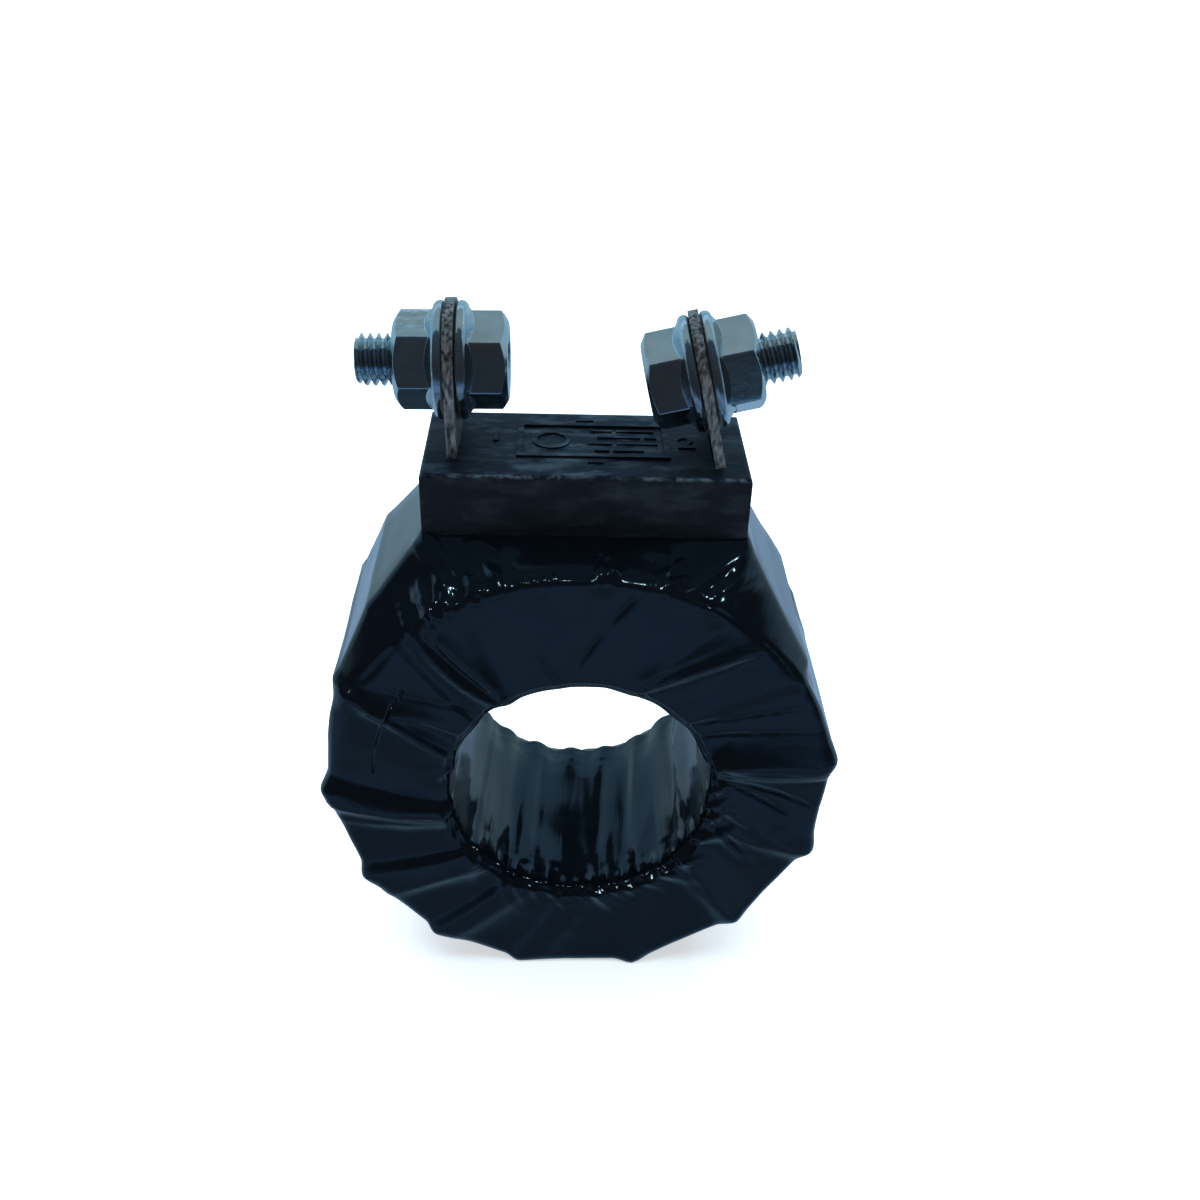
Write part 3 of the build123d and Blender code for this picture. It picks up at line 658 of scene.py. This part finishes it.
def tapeHeights(rows, points):    # how far the surface stands off the taut laps
    rng = np.random.default_rng(tape["seed"])
    x, y, z = points[..., 0], points[..., 1], points[..., 2]
    reach = np.hypot(x, z)
    angle = np.degrees(np.arctan2(x, z)) % 360
    columns = np.arange(points.shape[1])
    share = (columns % tape["columns"]) / tape["columns"]
    lap = columns // tape["columns"]
    parts = np.array([part for part, t, side in rows])
    inBore = np.isin(parts, ("bore", "boreFold"))[:, None]
    outside = np.array([{"outerFold": t, "slope": 1.0, "blockFold": 1.0, "outer": 1.0}.get(part, 0.0)
                        for part, t, side in rows])[:, None]
    fromTop = np.minimum(angle, 360 - angle)
    underBlock = smoothstep(cornerAngle + 2, cornerAngle - 2, fromTop) * (reach > ringRadius)

    # each lap climbs over the next one, steeply near its end, and comes down in a short step
    climb = 0.4 * share + 0.6 * smoothstep(0.55, 1.0, share)
    comeDown = 1 - smoothstep(0, tape["fall"], share)
    faceRise, outerRise, ears = [np.array(tape[name]) for name in ("faceRise", "outerRise", "ears")]
    onFace = faceRise[lap] * climb + faceRise[lap - 1] * comeDown
    onOuter = outerRise[lap] * climb + outerRise[lap - 1] * comeDown
    heights = onFace[None, :] * (1 - outside) + onOuter[None, :] * outside
    heights = np.where(inBore, 0.45, 1.0) * heights * (1 - 0.8 * underBlock)

    # ears: the tape bunches at the outer corners, where a lap ends
    corner = np.exp(-((reach - ringRadius - 0.3) / 1.3) ** 2)
    corner *= np.exp(-((np.abs(y) - halfWidth) / 1.6) ** 2)
    earSize = ears[lap] * smoothstep(0.78, 0.97, share) + ears[lap - 1] * comeDown
    heights += corner * earSize[None, :]

    front = smoothstep(-halfWidth + 5, -halfWidth + 2.5, y)
    back = smoothstep(halfWidth - 5, halfWidth - 2.5, y)
    for fold in frontFolds:
        heights += front * foldHeight(x, z, fold)
        start, middle, end, height, lowWidth, highWidth = fold
        # the far side has folds of the same kind, elsewhere and leaning the other way
        turned = [(tape["foldTurn"] - place[0], place[1]) for place in (start, middle, end)]
        heights += back * foldHeight(x, z, (*turned, height * 0.8, highWidth, lowWidth))

    under = smoothstep(-3, -8, y) * smoothstep(50, 40, fromTop) * (reach > ringRadius - 2) * (z > 0)
    for *places, height, width in edgeRidges:
        places = [np.array(place) for place in places]
        heights += under * ridgeHeight(x, y, (*places, height, width, width))

    # pleats where the tape turns into the window, on both sides
    for centre, size, width, reachOut, lean in rimPleats:
        for side, place in ((-1, centre), (1, tape["pleatTurn"] - centre)):
            out = (reach - tape["windowRadius"]) / reachOut
            pleat = np.exp(-np.maximum(out - 0.2, 0) ** 2) * smoothstep(11.8, 14.6, y * side)
            heights += pleat * size * hump(angle, place + side * lean * out, width * (1 + 0.4 * out))
    # broad scallops of the rear rim and flutes along the window's wall
    for centre in range(4, 360, tape["scallopEvery"]):
        sink = hump(angle, centre + rng.uniform(-2, 2), tape["scallopWidth"]) * smoothstep(8.5, 13.5, y)
        heights -= inBore * tape["scallopDepth"] * sink * smoothstep(19.5, 17.5, reach)
    for centre in rng.uniform(0, 360, tape["fluteCount"]):
        size = -tape["flute"] * (0.15 + 0.6 * rng.random())
        width = 2.0 + 5.0 * rng.random()
        drift = 0.5 * (rng.random() - 0.5)
        away = (angle - centre - drift * y + 180) % 360 - 180
        heights += inBore * size * np.exp(-(away / width) ** 2) * smoothstep(15, 9, y)
    mouthStart = np.interp(angle, *np.array(boreMouth).T, period=360)
    opening = np.minimum(np.maximum(mouthStart - y, 0) * tape["mouthSlope"], tape["mouthLimit"])
    heights -= inBore * opening
    wall = inBore * (np.abs(y) < halfWidth - tape["boreFold"])
    heights = np.where(wall, np.maximum(heights, -tape["flute"] - 0.3 * (y > 8) - opening), heights)

    # the edge under the block: a thin bead, crumpled here and there
    bead = np.exp(-((reach - ringRadius - 0.5) / 0.8) ** 2)
    bead *= smoothstep(-halfWidth + 5, -halfWidth + 3, y) * smoothstep(38, 28, fromTop)
    crumpled = np.zeros_like(x)
    for centre, spread, strength in crumples:
        crumpled += strength * hump(angle, centre % 360, spread)
    wide = np.exp(-((reach - ringRadius - 1.0) / 1.5) ** 2)
    wide *= smoothstep(-halfWidth + 7, -halfWidth + 4, y)
    fine = noiseAt(points * (1.4, 0.5, 1.0), 0.75, 7.0)
    crumple = wide * np.minimum(crumpled, 1) * (0.6 - np.abs(fine) * 2)
    heights += tape["bead"] * bead + tape["crumple"] * crumple
    heights += tape["wander"] * noiseAt(points, 0.13, 3.0) + tape["dimples"] * noiseAt(points, 0.45, 31.0)
    rim = np.exp(-((reach - tape["windowRadius"] - 0.8) / 1.6) ** 2) * smoothstep(8, 13, np.abs(y))
    crinkle = np.clip(wide * crumpled + 0.25 * rim * smoothstep(70, 140, fromTop), 0, 1)
    return heights, crinkle


def makeTape():
    rows, points = tapeBase()
    heights, crinkle = tapeHeights(rows, points)
    count, columns = points.shape[:2]
    # the outline closes one lap further on, because the tape is one long helix
    along = np.concatenate([np.roll(points[-1:], tape["columns"], axis=1), points,
                            np.roll(points[:1], -tape["columns"], axis=1)])
    tangent = along[2:] - along[:-2]
    across = np.roll(points, -1, axis=1) - np.roll(points, 1, axis=1)
    normals = np.cross(across, tangent)
    normals /= np.linalg.norm(normals, axis=2, keepdims=True) + 1e-9
    points = points + normals * heights[..., None]
    # the window stays clear, and the ring stands flat on its lowest lap
    reach = np.hypot(points[..., 0], points[..., 2])
    clear = np.maximum(1, tape["windowRadius"] / reach)
    points[..., 0] *= clear
    points[..., 2] *= clear
    points[..., 2] = np.maximum(points[..., 2], restLevel / mm)

    lengths = np.linalg.norm(np.diff(along, axis=0)[1:], axis=2).mean(axis=1)
    rowPlace = np.concatenate([[0], np.cumsum(lengths)]) / lengths.sum()
    faces, uvs = [], []
    for row in range(count):
        last = row == count - 1
        above, skip = (0, tape["columns"]) if last else (row + 1, 0)
        for column in range(columns):
            lap, step = divmod(column, tape["columns"])
            faces.append((
                row * columns + column, row * columns + (column + 1) % columns,
                above * columns + (column + 1 + skip) % columns,
                above * columns + (column + skip) % columns))
            left, right = step / tape["columns"], (step + 1) / tape["columns"]
            low, high = (lap + rowPlace[row]) / lapCount, (lap + rowPlace[row + 1]) / lapCount
            uvs += [left, low, right, low, right, high, left, high]
    mesh = bpy.data.meshes.new("tape")
    mesh.from_pydata((points.reshape(-1, 3) * mm).tolist(), [], faces)
    mesh.uv_layers.new(name="tape").data.foreach_set("uv", uvs)
    mask = mesh.attributes.new("crinkle", "FLOAT", "POINT")
    mask.data.foreach_set("value", crinkle.reshape(-1).astype(np.float32))
    mesh.shade_smooth()
    wrap = linkMesh("tape_laps", mesh, pvcTape())
    glinting.objects.link(wrap)
    dressPiece(wrap, "pvc_tape", "tape_wrap")


makeTape()
print("tape wrapped")


terminal = {
    "holeBehind": 8.61,       # middle of the free thread back to the middle of the tab
    "tabThickness": 1.2, "tabWidth": 14.2, "tabHeight": 9.7, "tabHole": 3.3, "tabTail": 6.0,
    "tailDepth": 8.4,
    "seatGap": 0.02,
    "acrossFlats": 10.0, "cornerRound": 0.35, "cornerCut": 32.0, "cornerLand": 0.55,
    "flangeRadius": 6.8, "flangeRim": 1.4, "flangeShoulder": 0.7, "flangeLump": 0.1,
    "flangeHeight": 2.2, "height": 6.0, "dishRadius": 3.4, "dishDepth": 0.6, "bevel": 0.13,
    "nutBore": 2.725, "nutMouth": 3.225, "countersink": 0.5,
    "threadRadius": 3.0, "engagedRadius": 2.675, "pitch": 1.0, "threadDepth": 0.58,
    "boltLength": 11.7, "pointChamfer": 0.5, "segments": 48,
    # degrees that the head and the nut are turned about their bolt
    "turns": {"left": (48.5, 18.5), "right": (12.5, 55.0)},
}


def terminalFrame(side):    # middle of the tab's hole, X outwards along the bolt, Z up the tab
    mount = mounts["stud_" + side]
    out = Vector(mount["axis"]).normalized()
    hole = Vector(mount["pos_m"]) - out * terminal["holeBehind"] * mm
    up = Vector((-out.z, 0, out.x)) if out.x > 0 else Vector((out.z, 0, -out.x))
    deep = up.cross(out)
    turned = Matrix((out, deep, up)).transposed().to_4x4()
    return Matrix.Translation(hole) @ turned


def hexagonOutline():    # rounded hexagon about the axis, as angle and radius
    apothem, rounding = terminal["acrossFlats"] / 2, terminal["cornerRound"]
    centre = (apothem - rounding) / math.cos(math.radians(30))
    points = []
    for corner in range(6):
        middle = math.radians(60 * corner)
        for step in range(5):
            angle = middle + math.radians(-30 + 15 * step)
            points.append((centre * math.cos(middle) + rounding * math.cos(angle),
                           centre * math.sin(middle) + rounding * math.sin(angle)))
        start = np.array(points[-1])
        after = math.radians(60 * (corner + 1))
        end = np.array((centre * math.cos(after) + rounding * math.cos(after - math.radians(30)),
                        centre * math.sin(after) + rounding * math.sin(after - math.radians(30))))
        points += [tuple(start + (end - start) * step / 6) for step in range(1, 6)]
    return [(math.atan2(y, x), math.hypot(x, y)) for x, y in points]


def turnedHexagon(name, isHead):    # flanged hexagon standing on its seat, closed
    t = terminal
    apothem = t["acrossFlats"] / 2
    landRadius = apothem - t["cornerLand"]
    shoulder = t["flangeRadius"] - t["flangeShoulder"]
    rimTop = t["flangeRim"]
    coneFall = (t["flangeHeight"] - rimTop) / (shoulder - apothem)
    cutFall = math.tan(math.radians(t["cornerCut"]))
    rows = [
        lambda r: (shoulder + 0.3, 0),
        lambda r: (t["flangeRadius"] - 0.08, 0.16 * rimTop),
        lambda r: (t["flangeRadius"], 0.42 * rimTop),
        lambda r: (t["flangeRadius"] - 0.1, 0.72 * rimTop),
        lambda r: (t["flangeRadius"] - 0.36, 0.93 * rimTop),
        lambda r: (shoulder, rimTop),
        lambda r: (r, rimTop + (shoulder - r) * coneFall),
        lambda r: (r, t["height"] - (r - landRadius) * cutFall),
        lambda r: (landRadius, t["height"]),
    ]
    if isHead:
        dishFloor = t["height"] - t["dishDepth"]
        rows += [lambda r: (t["dishRadius"], t["height"]),
                 lambda r: (t["dishRadius"] - t["dishDepth"], dishFloor + 0.05)]
    else:
        rows += [lambda r: (t["nutMouth"], t["height"]),
                 lambda r: (t["nutBore"], t["height"] - t["countersink"]),
                 lambda r: (t["nutBore"], t["countersink"]),
                 lambda r: (t["nutMouth"], 0)]
    outline = hexagonOutline()
    bm = bmesh.new()
    rings = []
    for row in rows:
        ring = []
        for angle, radius in outline:
            reach, height = row(radius)
            if reach > shoulder and height > 0:    # the rolled rim isn't quite round
                around = Vector((2 * math.cos(angle), 2 * math.sin(angle), 3.0 * isHead))
                reach += t["flangeLump"] * noise.noise(around) * 1.6
            ring.append(bm.verts.new((
                reach * math.cos(angle) * mm, reach * math.sin(angle) * mm, height * mm)))
        rings.append(ring)
    count = len(outline)
    pairs = list(zip(rings, rings[1:])) + ([] if isHead else [(rings[-1], rings[0])])
    for low, high in pairs:
        for i in range(count):
            bm.faces.new((low[i], low[(i + 1) % count], high[(i + 1) % count], high[i]))
    if isHead:
        for ring, height in ((rings[0], 0), (rings[-1], dishFloor)):
            pole = bm.verts.new((0, 0, height * mm))
            for i in range(count):
                bm.faces.new((ring[i], ring[(i + 1) % count], pole))
    bmesh.ops.recalc_face_normals(bm, faces=bm.faces)
    mesh = bpy.data.meshes.new(name)
    bm.to_mesh(mesh)
    bm.free()
    mesh.shade_smooth()
    piece = bpy.data.objects.new(name, mesh)
    scene.collection.objects.link(piece)
    bevel = piece.modifiers.new("edges", "BEVEL")
    bevel.width = t["bevel"] * mm
    bevel.segments = 2
    bevel.limit_method = "ANGLE"
    bevel.angle_limit = math.radians(25)
    bevel.harden_normals = True
    mesh = applyModifiers(piece)
    bpy.data.objects.remove(piece)
    return mesh


def threadTree():    # one thread profile carried along a helix, closed at both ends
    tree = bpy.data.node_groups.new("rolled thread", "GeometryNodeTree")
    sizes = {
        "Crest Radius": terminal["threadRadius"] * mm, "Thread Depth": terminal["threadDepth"] * mm,
        "Pitch": terminal["pitch"] * mm, "Length": terminal["boltLength"] * mm,
        "Point Chamfer": terminal["pointChamfer"] * mm,
        "Engaged From": (terminal["tabThickness"] + 2 * terminal["seatGap"]) * mm,
        "Engaged To": (terminal["tabThickness"] + 2 * terminal["seatGap"] + terminal["height"]) * mm,
        "Engaged Radius": terminal["engagedRadius"] * mm,
    }
    for name, value in sizes.items():
        socket = tree.interface.new_socket(name, in_out="INPUT", socket_type="NodeSocketFloat")
        socket.default_value = value
    segments = tree.interface.new_socket("Segments", in_out="INPUT", socket_type="NodeSocketInt")
    segments.default_value = terminal["segments"]
    tree.interface.new_socket("Finish", in_out="INPUT", socket_type="NodeSocketMaterial")
    tree.interface.new_socket("Geometry", in_out="OUTPUT", socket_type="NodeSocketGeometry")
    inputs = addNode(tree, "NodeGroupInput").outputs
    axes = addNode(tree, "ShaderNodeSeparateXYZ", {
        "Vector": addNode(tree, "GeometryNodeInputPosition").outputs[0]})
    profileSteps = 16

    # Each step has a name, an operation and what it works on: numbers, inputs or earlier steps.
    # RANGE carries a value from one span to another, and STRETCH does so past its ends too.
    steps = [
        ("shankTurns", "DIVIDE", "Length", "Pitch"), ("allTurns", "ADD", "shankTurns", 4.0),
        ("wholeTurns", "CEIL", "allTurns"), ("columns", "MULTIPLY_ADD", "wholeTurns", "Segments", 1.0),
        ("halfTurns", "MULTIPLY", "wholeTurns", 0.5), ("shift", "SUBTRACT", "halfTurns", 2.0),
        ("turn", "ADD", "X", "shift"), ("profile", "ADD", "Y", 0.5),
        ("climb", "ADD", "turn", "profile"), ("height", "MULTIPLY", "climb", "Pitch"),
        # flat crest an eighth of the pitch wide, flat root a quarter
        ("centred", "MULTIPLY_ADD", "profile", 2.0, -1.0), ("slope", "ABSOLUTE", "centred"),
        ("flank", "RANGE", "slope", 0.125, 0.75, 0.0, 1.0),
        ("depth", "MULTIPLY", "flank", "Thread Depth"), ("thread", "SUBTRACT", "Crest Radius", "depth"),
        # chamfered point, and a flat face at each end
        ("pointRadius", "SUBTRACT", "Crest Radius", "Point Chamfer"),
        ("pointStart", "SUBTRACT", "Length", "Point Chamfer"), ("beyond", "ADD", "Length", "Pitch"),
        ("before", "MULTIPLY", "Pitch", -1.0),
        ("point", "RANGE", "height", "pointStart", "Length", "Crest Radius", "pointRadius"),
        ("closing", "STRETCH", "height", "Length", "beyond", "pointRadius", 0.0),
        ("endFace", "MAXIMUM", "closing", 0.0),
        ("startFace", "RANGE", "height", "before", 0.0, 0.0, "Crest Radius"),
        # inside the nut the shank is a plain one, as thick as the pitch diameter
        ("past", "GREATER_THAN", "height", "Engaged From"), ("short", "LESS_THAN", "height", "Engaged To"),
        ("inNut", "MULTIPLY", "past", "short"),
        ("engaged", "RANGE", "inNut", 0.0, 1.0, "Crest Radius", "Engaged Radius"),
        ("capped", "MINIMUM", "point", "endFace"), ("closed", "MINIMUM", "capped", "startFace"),
        ("ends", "MINIMUM", "closed", "engaged"), ("radius", "MINIMUM", "thread", "ends"),
        ("angle", "MULTIPLY", "turn", 2 * math.pi), ("raised", "MAXIMUM", "height", 0.0),
        ("level", "MINIMUM", "raised", "Length"), ("cosine", "COSINE", "angle"), ("sine", "SINE", "angle"),
        ("placeX", "MULTIPLY", "radius", "cosine"), ("placeY", "MULTIPLY", "radius", "sine"),
    ]
    values = {name: inputs[name] for name in (*sizes, "Segments")}
    values.update(X=axes.outputs["X"], Y=axes.outputs["Y"])
    for name, operation, *operands in steps:
        operands = [values.get(item, item) for item in operands]
        if operation in ("RANGE", "STRETCH"):
            keys = ("Value", "From Min", "From Max", "To Min", "To Max")
            span = dict(zip(keys, operands))
            node = addNode(tree, "ShaderNodeMapRange", span, clamp=operation == "RANGE")
        else:
            node = addNode(tree, "ShaderNodeMath", dict(enumerate(operands)), operation=operation)
        values[name] = node.outputs[0]

    grid = addNode(tree, "GeometryNodeMeshGrid", {
        "Size X": values["wholeTurns"], "Size Y": 1.0,
        "Vertices X": values["columns"], "Vertices Y": profileSteps + 1})
    place = addNode(tree, "ShaderNodeCombineXYZ", {
        "X": values["placeX"], "Y": values["placeY"], "Z": values["level"]})
    rolled = addNode(tree, "GeometryNodeSetPosition", {
        "Geometry": grid.outputs["Mesh"], "Position": place.outputs[0]})
    merged = addNode(tree, "GeometryNodeMergeByDistance", {
        "Geometry": rolled.outputs[0], "Distance": 0.004 * mm})
    real = addNode(tree, "GeometryNodeRealizeInstances", {"Geometry": merged.outputs[0]})
    finished = addNode(tree, "GeometryNodeSetMaterial", {
        "Geometry": real.outputs[0], "Material": inputs["Finish"]})
    addNode(tree, "NodeGroupOutput", {"Geometry": finished.outputs[0]})
    return tree


def makeThread(tree, finish):    # the threaded shank, standing on the underside of the head
    piece = bpy.data.objects.new("thread", bpy.data.meshes.new("thread"))
    scene.collection.objects.link(piece)
    modifier = piece.modifiers.new("thread", "NODES")
    modifier.node_group = tree
    sockets = {item.name: item.identifier for item in tree.interface.items_tree if item.in_out == "INPUT"}
    modifier[sockets["Segments"]] = terminal["segments"]
    modifier[sockets["Finish"]] = finish
    mesh = applyModifiers(piece)
    bpy.data.objects.remove(piece)
    bm = bmesh.new()
    bm.from_mesh(mesh)
    bmesh.ops.dissolve_degenerate(bm, edges=bm.edges, dist=0.002 * mm)
    bmesh.ops.recalc_face_normals(bm, faces=bm.faces)
    bm.to_mesh(mesh)
    bm.free()
    mesh.shade_smooth()
    mesh.set_sharp_from_angle(angle=math.radians(40))
    return mesh


def joinMeshes(name, parts):    # several meshes, each with its place, as one
    bm = bmesh.new()
    for mesh, place in parts:
        copy = mesh.copy()
        copy.transform(place)
        bm.from_mesh(copy)
    joined = bpy.data.meshes.new(name)
    bm.to_mesh(joined)
    bm.free()
    return joined


def tabMesh():    # blade with a round top and a hole, and the narrow tail that goes into the block
    t = terminal
    half, tail = t["tabWidth"] / 2, t["tabTail"] / 2
    foot = -t["tabHeight"] + t["tabThickness"] / 2
    outline = [(-tail, foot - t["tailDepth"]), (tail, foot - t["tailDepth"]), (tail, foot), (half, foot)]
    outline += [(half * math.cos(math.radians(a)), half * math.sin(math.radians(a)))
                for a in range(0, 181, 5)]
    outline += [(-half, foot), (-tail, foot)]
    hole = [(t["tabHole"] * math.cos(math.radians(a)), t["tabHole"] * math.sin(math.radians(a)))
            for a in range(0, 360, 10)]
    points = outline + hole
    loops = [range(len(outline)), range(len(outline), len(points))]
    bm = bmesh.new()
    verts = [bm.verts.new((0, y * mm, z * mm)) for y, z in points]
    bm.verts.index_update()
    edges = [bm.edges.new((verts[loop[i - 1]], verts[loop[i]])) for loop in loops for i in range(len(loop))]
    bmesh.ops.triangle_fill(bm, edges=edges, use_beauty=True)
    # the fill comes in no fixed order, so its triangles are sorted to be the same each run
    triangles = sorted(sorted(vert.index for vert in face.verts) for face in bm.faces)
    bm.free()
    count = len(points)
    sheet = [(side * t["tabThickness"] / 2 * mm, y * mm, z * mm) for side in (-1, 1) for y, z in points]
    faces = triangles + [[index + count for index in triangle] for triangle in triangles]
    for loop in loops:
        faces += [(loop[i - 1], loop[i], loop[i] + count, loop[i - 1] + count) for i in range(len(loop))]
    mesh = bpy.data.meshes.new("tab")
    mesh.from_pydata(sheet, [], faces)
    bm = bmesh.new()
    bm.from_mesh(mesh)
    bmesh.ops.recalc_face_normals(bm, faces=bm.faces)
    bm.to_mesh(mesh)
    bm.free()
    return mesh


def makeTerminals():
    zinc, steel = zincPlate(), shearedSteel()
    head, nut = turnedHexagon("head", True), turnedHexagon("nut", False)
    thread = makeThread(threadTree(), zinc)
    tab = tabMesh()
    seat = (terminal["tabThickness"] / 2 + terminal["seatGap"]) * mm
    for side in ("left", "right"):
        place = terminalFrame(side)
        along = place @ Matrix.Rotation(math.radians(90), 4, "Y")    # Z along the bolt
        headTurn, nutTurn = [Matrix.Rotation(math.radians(angle), 4, "Z")
                             for angle in terminal["turns"][side]]
        flip = Matrix.Rotation(math.radians(180), 4, "X")
        boltSeat = along @ Matrix.Translation((0, 0, -seat))
        bolt = linkMesh("bolt_" + side + "_zinc", joinMeshes("bolt", [
            (head, boltSeat @ flip @ headTurn), (thread, boltSeat)]), zinc)
        dressPiece(bolt, "zinc_plate", "bolt_" + side)
        nutMesh = nut.copy()
        nutMesh.transform(along @ Matrix.Translation((0, 0, seat)) @ nutTurn)
        nutPiece = linkMesh("nut_" + side + "_zinc", nutMesh, zinc)
        dressPiece(nutPiece, "zinc_plate", "nut_" + side)
        strip = tab.copy()
        strip.transform(place)
        dressPiece(linkMesh("tab_" + side + "_strip", strip, steel), "tab_steel", "tab_" + side)
        plated.objects.link(bolt)
        plated.objects.link(nutPiece)


makeTerminals()
print("terminals made")


# mottled finish of an inner piece, with the size of the mottle and the depth of the bump in mm
def plainFinish(name, colours, roughness, size, metallic=0.0, bump=0.05):
    material, tree = startMaterial(name)
    place = addNode(tree, "ShaderNodeTexCoord").outputs["Object"]
    mottle = addNode(tree, "ShaderNodeTexNoise", {
        "Vector": place, "Scale": perMetre(size), "Detail": 4.0})
    colour = addNode(tree, "ShaderNodeMix", {
        0: mottle.outputs["Fac"], 6: linear(colours[0]), 7: linear(colours[1])}, data_type="RGBA")
    height = addNode(tree, "ShaderNodeBump", {
        "Height": mottle.outputs["Fac"], "Strength": 0.5, "Distance": bump * mm})
    shader = addNode(tree, "ShaderNodeBsdfPrincipled", {
        "Base Color": colour.outputs[2], "Roughness": roughness, "Metallic": metallic,
        "Normal": height.outputs[0]})
    return finishMaterial(material, shader)


def dressNode(name, material):
    mesh = nodes[name].data
    mesh.materials.clear()
    mesh.materials.append(material)


block = {
    "relief": 0.3,             # height of everything raised on the upper face
    "marks": 0.2,              # and of the marks themselves
    "numerals": [("1", -10.8, 1.7), ("2", 12.1, 0.4)], "numeralSize": 4.4, "numeralStroke": 0.1,
    "barDepth": 0.42,
    # plain bars of the marking field: left end, length and y
    "bars": [
        (0.6, 2.6, 3.3), (3.7, 4.6, 3.3), (1.4, 5.2, 1.6), (7.1, 1.4, 1.6), (0.2, 3.0, -0.1),
        (3.7, 4.9, -0.1), (1.0, 1.8, -1.9), (3.3, 3.6, -1.9), (-1.2, 2.2, 6.2), (0.2, 1.8, -5.0)],
    "ring": (-4.1, 0.7, 2.3, 1.75),    # plain ring beside them: x, y, outer and inner radius
}


def makeMarks(finish):    # numerals, bars and a ring, raised on the block's upper face
    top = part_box("terminal_block")[1].z / mm - block["relief"]
    sunk = -0.05    # their feet stand a little way inside the block
    bm = bmesh.new()
    for left, length, y in block["bars"]:
        right, half = left + length, block["barDepth"] / 2
        corners = [(left, y - half), (right, y - half), (right, y + half), (left, y + half)]
        low, high = [[bm.verts.new((x * mm, depth * mm, (top + level) * mm)) for x, depth in corners]
                     for level in (sunk, block["marks"])]
        bm.faces.new(high)
        bm.faces.new(low[::-1])
        for i in range(4):
            bm.faces.new((low[i], low[(i + 1) % 4], high[(i + 1) % 4], high[i]))
    x, y, outer, inner = block["ring"]
    count = 36
    rings = []
    for radius, level in ((outer, sunk), (outer, block["marks"]), (inner, block["marks"]), (inner, sunk)):
        turns = [2 * math.pi * step / count for step in range(count)]
        rings.append([bm.verts.new((
            (x + radius * math.cos(turn)) * mm, (y + radius * math.sin(turn)) * mm, (top + level) * mm))
            for turn in turns])
    for low, high in zip(rings, rings[1:] + rings[:1]):
        for i in range(count):
            bm.faces.new((low[i], low[(i + 1) % count], high[(i + 1) % count], high[i]))
    for body, x, y in block["numerals"]:
        curve = bpy.data.curves.new("numeral", "FONT")
        curve.body = body
        curve.size = block["numeralSize"]    # in mm here, and in metres once it is a mesh
        curve.extrude = (block["marks"] - sunk) / 2
        curve.offset = block["numeralStroke"]
        curve.align_x, curve.align_y = "CENTER", "CENTER"
        numeral = bpy.data.objects.new("numeral", curve)
        scene.collection.objects.link(numeral)
        bpy.context.view_layer.update()
        graph = bpy.context.evaluated_depsgraph_get()
        mesh = bpy.data.meshes.new_from_object(numeral.evaluated_get(graph))
        middle = top + (block["marks"] + sunk) / 2
        mesh.transform(Matrix.Scale(mm, 4) @ Matrix.Translation((x, y, middle)))
        bm.from_mesh(mesh)
        bpy.data.objects.remove(numeral)
    bmesh.ops.remove_doubles(bm, verts=bm.verts, dist=0.001 * mm)
    bmesh.ops.recalc_face_normals(bm, faces=bm.faces)
    mesh = bpy.data.meshes.new("marks")
    bm.to_mesh(mesh)
    bm.free()
    marks = linkMesh("block_marks", mesh, finish)
    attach(marks, "root")


phenolic = mouldedBlock()
dressNode("terminal_block", phenolic)
makeMarks(phenolic)
innerFinishes = {    # seen only where the part is cut open
    "wound_core": plainFinish("rolled silicon steel", ("7d8087", "9a9da3"), 0.35, 3.3333, metallic=1.0),
    "end_ring_front": plainFinish("pressboard", ("b89a6c", "a48757"), 0.85, 1.1111),
    "core_wrap": plainFinish("crepe paper", ("d2c6a2", "bfb18c"), 0.9, 0.83333, bump=0.2),
    "secondary_winding": plainFinish(
        "enamelled copper wire", ("8c3f1e", "a5532c"), 0.25, 5.0, metallic=1.0),
    "winding_film": plainFinish("polyester film", ("d7cf8e", "c9bf78"), 0.15, 6.6667),
    "sleeve_left": plainFinish("varnished glass sleeve", ("cfc49a", "b9ad80"), 0.5, 0.55556),
    "solder_left": plainFinish("tin solder", ("a9abad", "8d9092"), 0.3, 1.6667, metallic=1.0),
}
innerFinishes["end_ring_rear"] = innerFinishes["end_ring_front"]
innerFinishes["sleeve_right"] = innerFinishes["sleeve_left"]
innerFinishes["solder_right"] = innerFinishes["solder_left"]
innerFinishes["lead_left"] = innerFinishes["lead_right"] = innerFinishes["secondary_winding"]
for name, finish in innerFinishes.items():
    dressNode(name, finish)
print("inner pieces finished")
